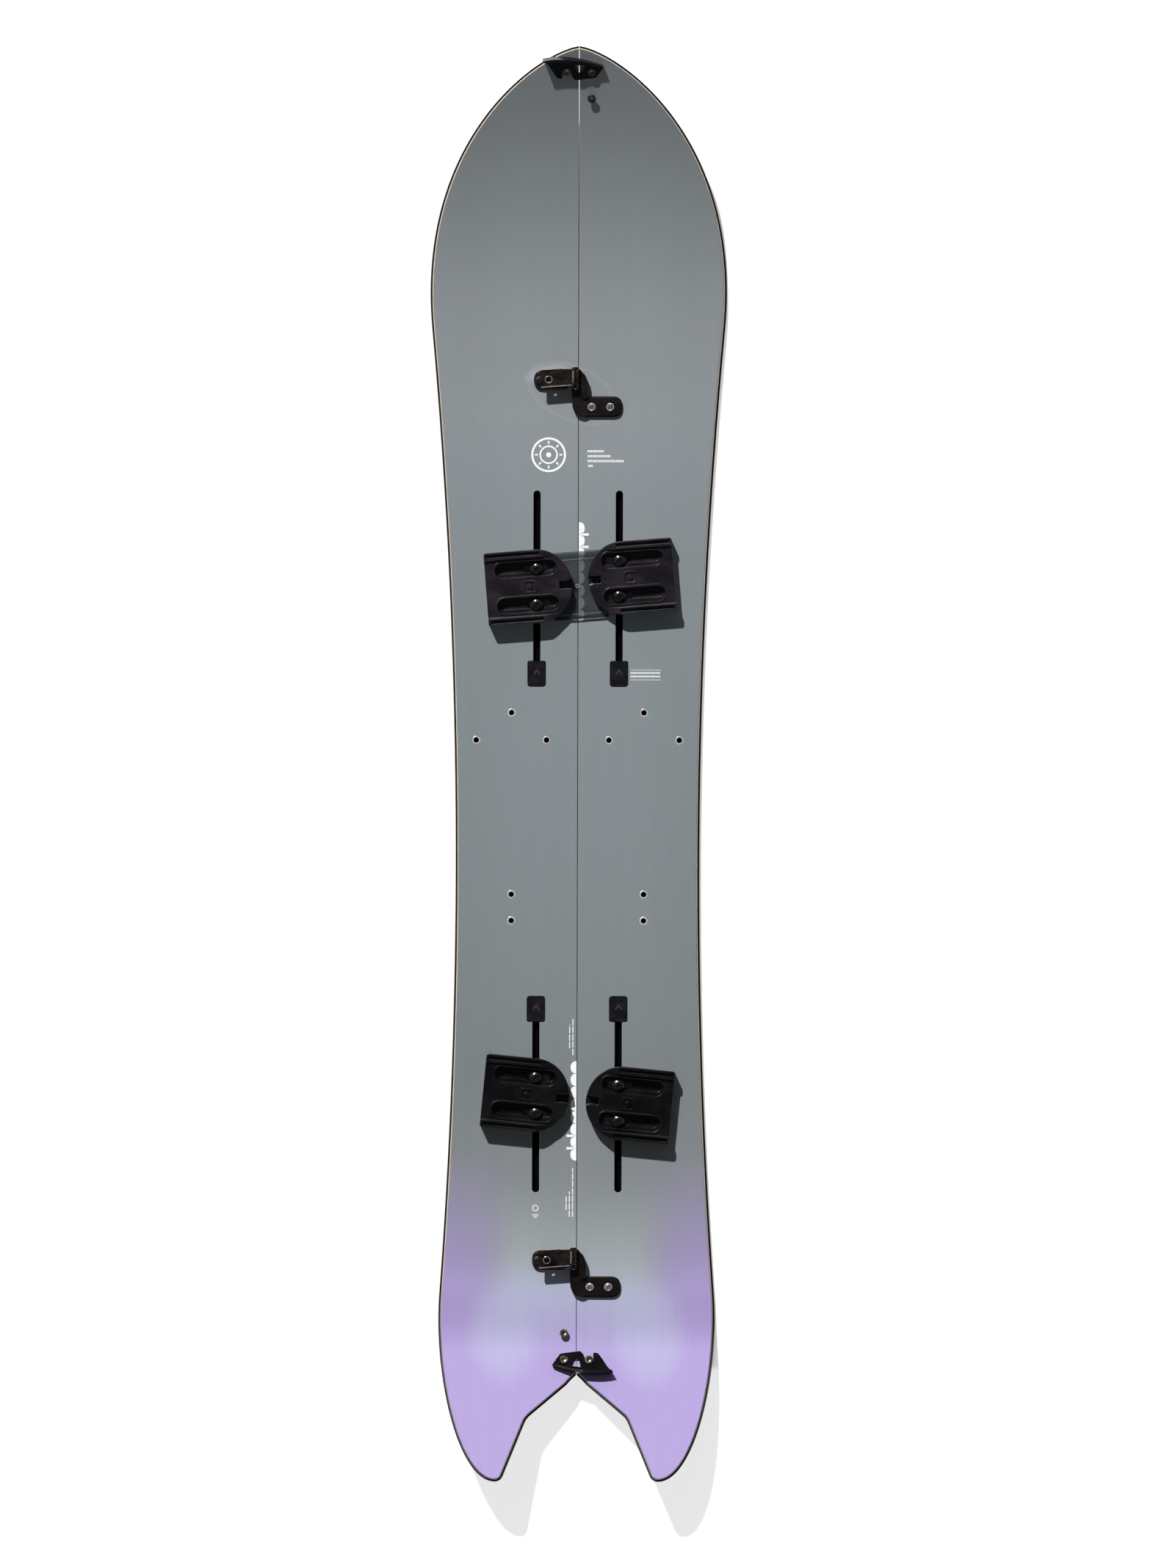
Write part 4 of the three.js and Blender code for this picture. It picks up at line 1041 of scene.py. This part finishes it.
def highlight_strip_shape():
    """Bright chrome strips on the lever that paint its edge highlights: along one long edge, along its
    knuckle and round its hole.
    """
    low, high = LEVER_TOP - 0.1, LEVER_TOP + 0.4
    lower = prism(rounded([(-35.2, 5.55), (-3.4, 8.0), (-3.4, 8.75), (-35.2, 6.4)], 0.35), low, high)
    upright = prism(rounded([(-3.6, 10.4), (-2.3, 10.4), (-2, 22.8), (-3.3, 22.8)], 0.5), low, high)
    collar = cut(prism(circle(*LEVER_HOLE, 3.9, 32), low, high), [prism(circle(*LEVER_HOLE, 3.1, 32), 5, 6)])
    return soften(joined([lower, upright, collar]), 0.2)


for end, clip_y in BOARD_CLIPS.items():
    here = at(0, clip_y, DECK)
    pin = at(PIN_X, clip_y, DECK + PIN_Z)
    piece(f"clip_keeper_{end}", keeper_shape(), CLIP_NYLON, "right_half",
          [f"keeper_{end}"], here, 30)
    piece(f"clip_base_{end}", latch_base_shape(), CLIP_NYLON, "left_half",
          [f"latch_base_{end}"], here, 30)
    piece(f"clip_lever_{end}", lever_shape(), LEVER_CHROME, f"{end}_lever",
          [f"latch_lever_{end}"], pin, 30)
    # Chrome strips that paint the lever's edge highlights.
    piece(f"clip_lever_highlight_strip_{end}", highlight_strip_shape(), CHROME, f"{end}_lever", (), pin, 30)
    thick, thin = PIN_RADIUS, PIN_RADIUS - 0.3
    rod = lathe([(0, 0), (thin, 0), (thick, 0.3), (thick, PIN_LENGTH - 0.3), (thin, PIN_LENGTH),
                 (0, PIN_LENGTH)], 28)
    rod = moved(rod, at(PIN_X, 27.2, PIN_Z, math.pi / 2))
    piece(f"clip_pin_{end}", rod, CHROME, "right_half", [f"latch_pin_{end}"], here)
    rows = [("keeper_screw", KEEPER_SCREW_X, -LATCH_OFFSET, KEEPER_TOP, "right_half", CHROME),
            ("latch_base_screw", LATCH_SCREW_X, LATCH_OFFSET, LATCH_TOP, "left_half", DULL_BLACK)]
    for row, xs, y, seat, body, finish in rows:
        for which, x in zip(("inner", "outer"), xs):
            screw = cross_head(4.2, height=2.4, shaft_radius=2.5, shaft_length=seat + 5, recess=2.7)
            piece(f"{row}_head_{end}_{which}", screw, finish, body, [f"{row}_{end}_{which}"],
                  at(x, clip_y + y, DECK + seat + TOUCH_GAP))


# ---- stance gauge and printing

def ring_print(x, y, outer, inner, steps=64, height=INK):
    outside, within = circle(x, y, outer, steps), circle(x, y, inner, steps)
    vertices = [(a, b, height) for a, b in outside + within]
    faces = [[i, (i + 1) % steps, steps + (i + 1) % steps, steps + i] for i in range(steps)]
    return link("print", mesh_of("print", vertices, faces))


def bar_print(x, y, length, thick, height=INK):
    return flat(rectangle(x, x + length, y, y + thick, thick * 0.3, 3), height)


def tick_row(x, y, length, tall):
    """A row of plain upright ticks, where the printing has small words."""
    wide, pitch = 1.1, 1.7
    return [flat(rectangle(x + pitch * i, x + pitch * i + wide, y, y + tall, 0.25, 2))
            for i in range(int(length / pitch))]


def dashes_along(x, low, high):
    """A dashed line along the seam."""
    found = []
    while low < high:
        dash = min(6.5, high - low)
        found.append(flat(rectangle(x - 0.45, x + 0.45, low, low + dash, 0.2, 2)))
        low += dash + 1.1
    return found


def stance_scale(side, start, arrows):
    """Half-round marks along the seam, and an arrow at the start of some of them."""
    shapes = []
    for i in range(SCALE_MARKS):
        middle = start + SCALE_MARK * (i + 0.5)
        shapes.append([(0.6 + 6 * math.cos(math.radians(a)) ** 0.75,
                        middle + SCALE_MARK * 0.49 * math.sin(math.radians(a))) for a in range(-90, 91, 10)])
    for i in arrows:
        y = start + SCALE_MARK * i
        shapes.append([(2.2, y), (4.6, y - 2), (5.2, y - 1.1), (10.6, y - 1.3), (10.6, y + 1.3),
                       (5.2, y + 1.1), (4.6, y + 2)])
    return joined([flat([(side * x, y) for x, y in shape][::side]) for shape in shapes])


piece("stance_scale_front", stance_scale(1, FRONT_SCALE_Y, (6, 7)), WHITE_INK, "right_half")
piece("stance_scale_rear", stance_scale(-1, REAR_SCALE_Y, (1, 2)), WHITE_INK, "left_half")

emblem = [ring_print(*EMBLEM, 17.7, 15.6), ring_print(*EMBLEM, 9.4, 7.8, 48)]
emblem += [moved(bar_print(-0.8, 10.8, 1.6, 3.4, 0), at(*EMBLEM, INK, 0, 45 * turn)) for turn in range(8)]
emblem.append(flat(circle(*EMBLEM, 2.6, 24)))
piece("deck_emblem", joined(emblem), WHITE_INK, "left_half")

right_marks = [bar_print(53.7, y, 31, 0.4) for y in (96.0, 86.0)]
for x, y, length, tall in ((9.4, 318.2, 18, 2.4), (9.4, 313.2, 24.6, 2.4), (9.4, 308.2, 39, 2.4),
                           (10, 303.2, 5.8, 2.4), (53.7, 92.3, 31, 1.9), (53.7, 88.7, 31, 1.9)):
    right_marks += tick_row(x, y, length, tall)
piece("deck_lines_right", joined(right_marks), WHITE_INK, "right_half")

left_marks = []
for x, low, high in ((-4.3, -297, -260), (-4.3, -462, -412), (-7.6, -290, -266), (-7.6, -462, -436),
                     (-10.8, -455, -441)):
    left_marks += dashes_along(x, low, high)
left_marks.append(ring_print(-42.3, -453, 3.2, 2.4, 32))
left_marks.append(flat(rectangle(-45.6, -39, -460.4, -459.6, 0.2, 2)))
left_marks.append(flat(rectangle(-44.4, -40.2, -462.6, -461.8, 0.2, 2)))
piece("deck_lines_left", joined(left_marks), WHITE_INK, "left_half")

gauge_x, gauge_y, gauge_turn, _ = PUCKS["front_left"]
gauge_place = at(gauge_x, gauge_y, DECK, 0, gauge_turn)
(near, far), (low, high) = GAUGE_X, GAUGE_Y
plate = prism(rectangle(near, far, low, high, 2), 1.2, GAUGE_TOP)
piece("stance_gauge", soften(plate, 0.3, 2), SMOKED, "puck_front_left",
      ["alignment_gauge"], gauge_place)

dashes = []
for row in (high - 8.5, low + 4.8):
    x = near + 2
    while x < far - 2:
        dashes.append(flat(rectangle(x, x + 1, row, row + 0.6, 0.2, 2), GAUGE_TOP + 0.05))
        x += 1.9
dashes.append(ring_print(41, -2.6, 1.9, 1.3, 28, GAUGE_TOP + 0.05))
# Two dark bands on the gauge: the wide one along its tail-side edge is painted shadow, and the thin one near
# its nose-side edge is a dark line.
lines = [flat(rectangle(near + 0.6, far - 0.6, y0, y1, radius, 3), GAUGE_TOP + 0.04)
         for y0, y1, radius in ((low + 0.4, low + 2.6, 0.5), (high - 5.8, high - 4.9, 0.2))]
piece("gauge_dashes", joined(dashes), GREY_INK, "puck_front_left", (), gauge_place)
piece("gauge_dark_line_and_painted_shadow", joined(lines), DARK_LINE_AND_SHADOW, "puck_front_left", (), gauge_place)


# ---- floor, light and camera

# The floor is in metres, a little below the board's base.
corners = [(60 * a, 60 * b, -0.0004) for a, b in ((-1, -1), (1, -1), (1, 1), (-1, 1))]
floor = link("floor", mesh_of("floor", corners, [[0, 1, 2, 3]]))
paper = Finish("white_paper", (0.60, 0.60, 0.60), Roughness=0.9, Specular_IOR_Level=0.1)
paper.shader.inputs["Emission Color"].default_value = (1, 1, 1, 1)
# The floor glows white, and its glow is dimmed where the board crowds it, a painted contact shade, except
# past the tail notch.
open_sky = paper.node("AmbientOcclusion", {"Distance": 0.045}, samples=6).outputs["AO"]
past_notch = paper.span(paper.axis(1), -0.605, -0.62)
paper.feed("Emission Strength", paper.math("MULTIPLY", paper.math("MAXIMUM", open_sky, past_notch), 0.72))
paper.bump(paper.noise(30), 0.02, 0.001)
floor.data.materials.append(paper.material)


def sun(name, energy, width, direction):
    """A sun that shines along a direction. width is its apparent size in degrees."""
    lamp = bpy.data.lights.new(name, "SUN")
    lamp.energy = energy
    lamp.angle = math.radians(width)
    holder = link(name, lamp)
    holder.rotation_mode = "QUATERNION"
    holder.rotation_quaternion = Vector(direction).to_track_quat("-Z", "Y")


sun("key", 4.7, 1.6, (0.553, -1.227, -1))
for way in (1, -1):
    sun("strip", 0.3, 22, (0, way, -0.2))

world = bpy.data.worlds.new("studio")
bpy.context.scene.world = world
world.use_nodes = True
tree = world.node_tree
direction = tree.nodes.new("ShaderNodeTexCoord").outputs["Generated"]
height = tree.nodes.new("ShaderNodeSeparateXYZ")
tree.links.new(direction, height.inputs[0])
ramp = tree.nodes.new("ShaderNodeValToRGB")
tree.links.new(height.outputs[2], ramp.inputs[0])
stops = ramp.color_ramp.elements
stops[0].position, stops[1].position = 0.03, 0.9
stops.new(0.32)
for stop, color in zip(stops, ((0.95, 0.96, 0.98), (0.12, 0.125, 0.13), (0.05, 0.054, 0.056))):
    stop.color = (*color, 1)
background = tree.nodes["Background"]
tree.links.new(ramp.outputs[0], background.inputs[0])
background.inputs[1].default_value = 1.0

camera = bpy.data.cameras.new("camera")
camera.lens = 360
camera.sensor_width = 36
camera.clip_end = 100
camera_object = link("camera", camera)
camera_object.location = (0.0044, -0.0202, 16.009)
camera_object.rotation_euler = (0, 0, math.radians(0.13))
bpy.context.scene.camera = camera_object
bpy.context.scene.view_settings.view_transform = "Standard"
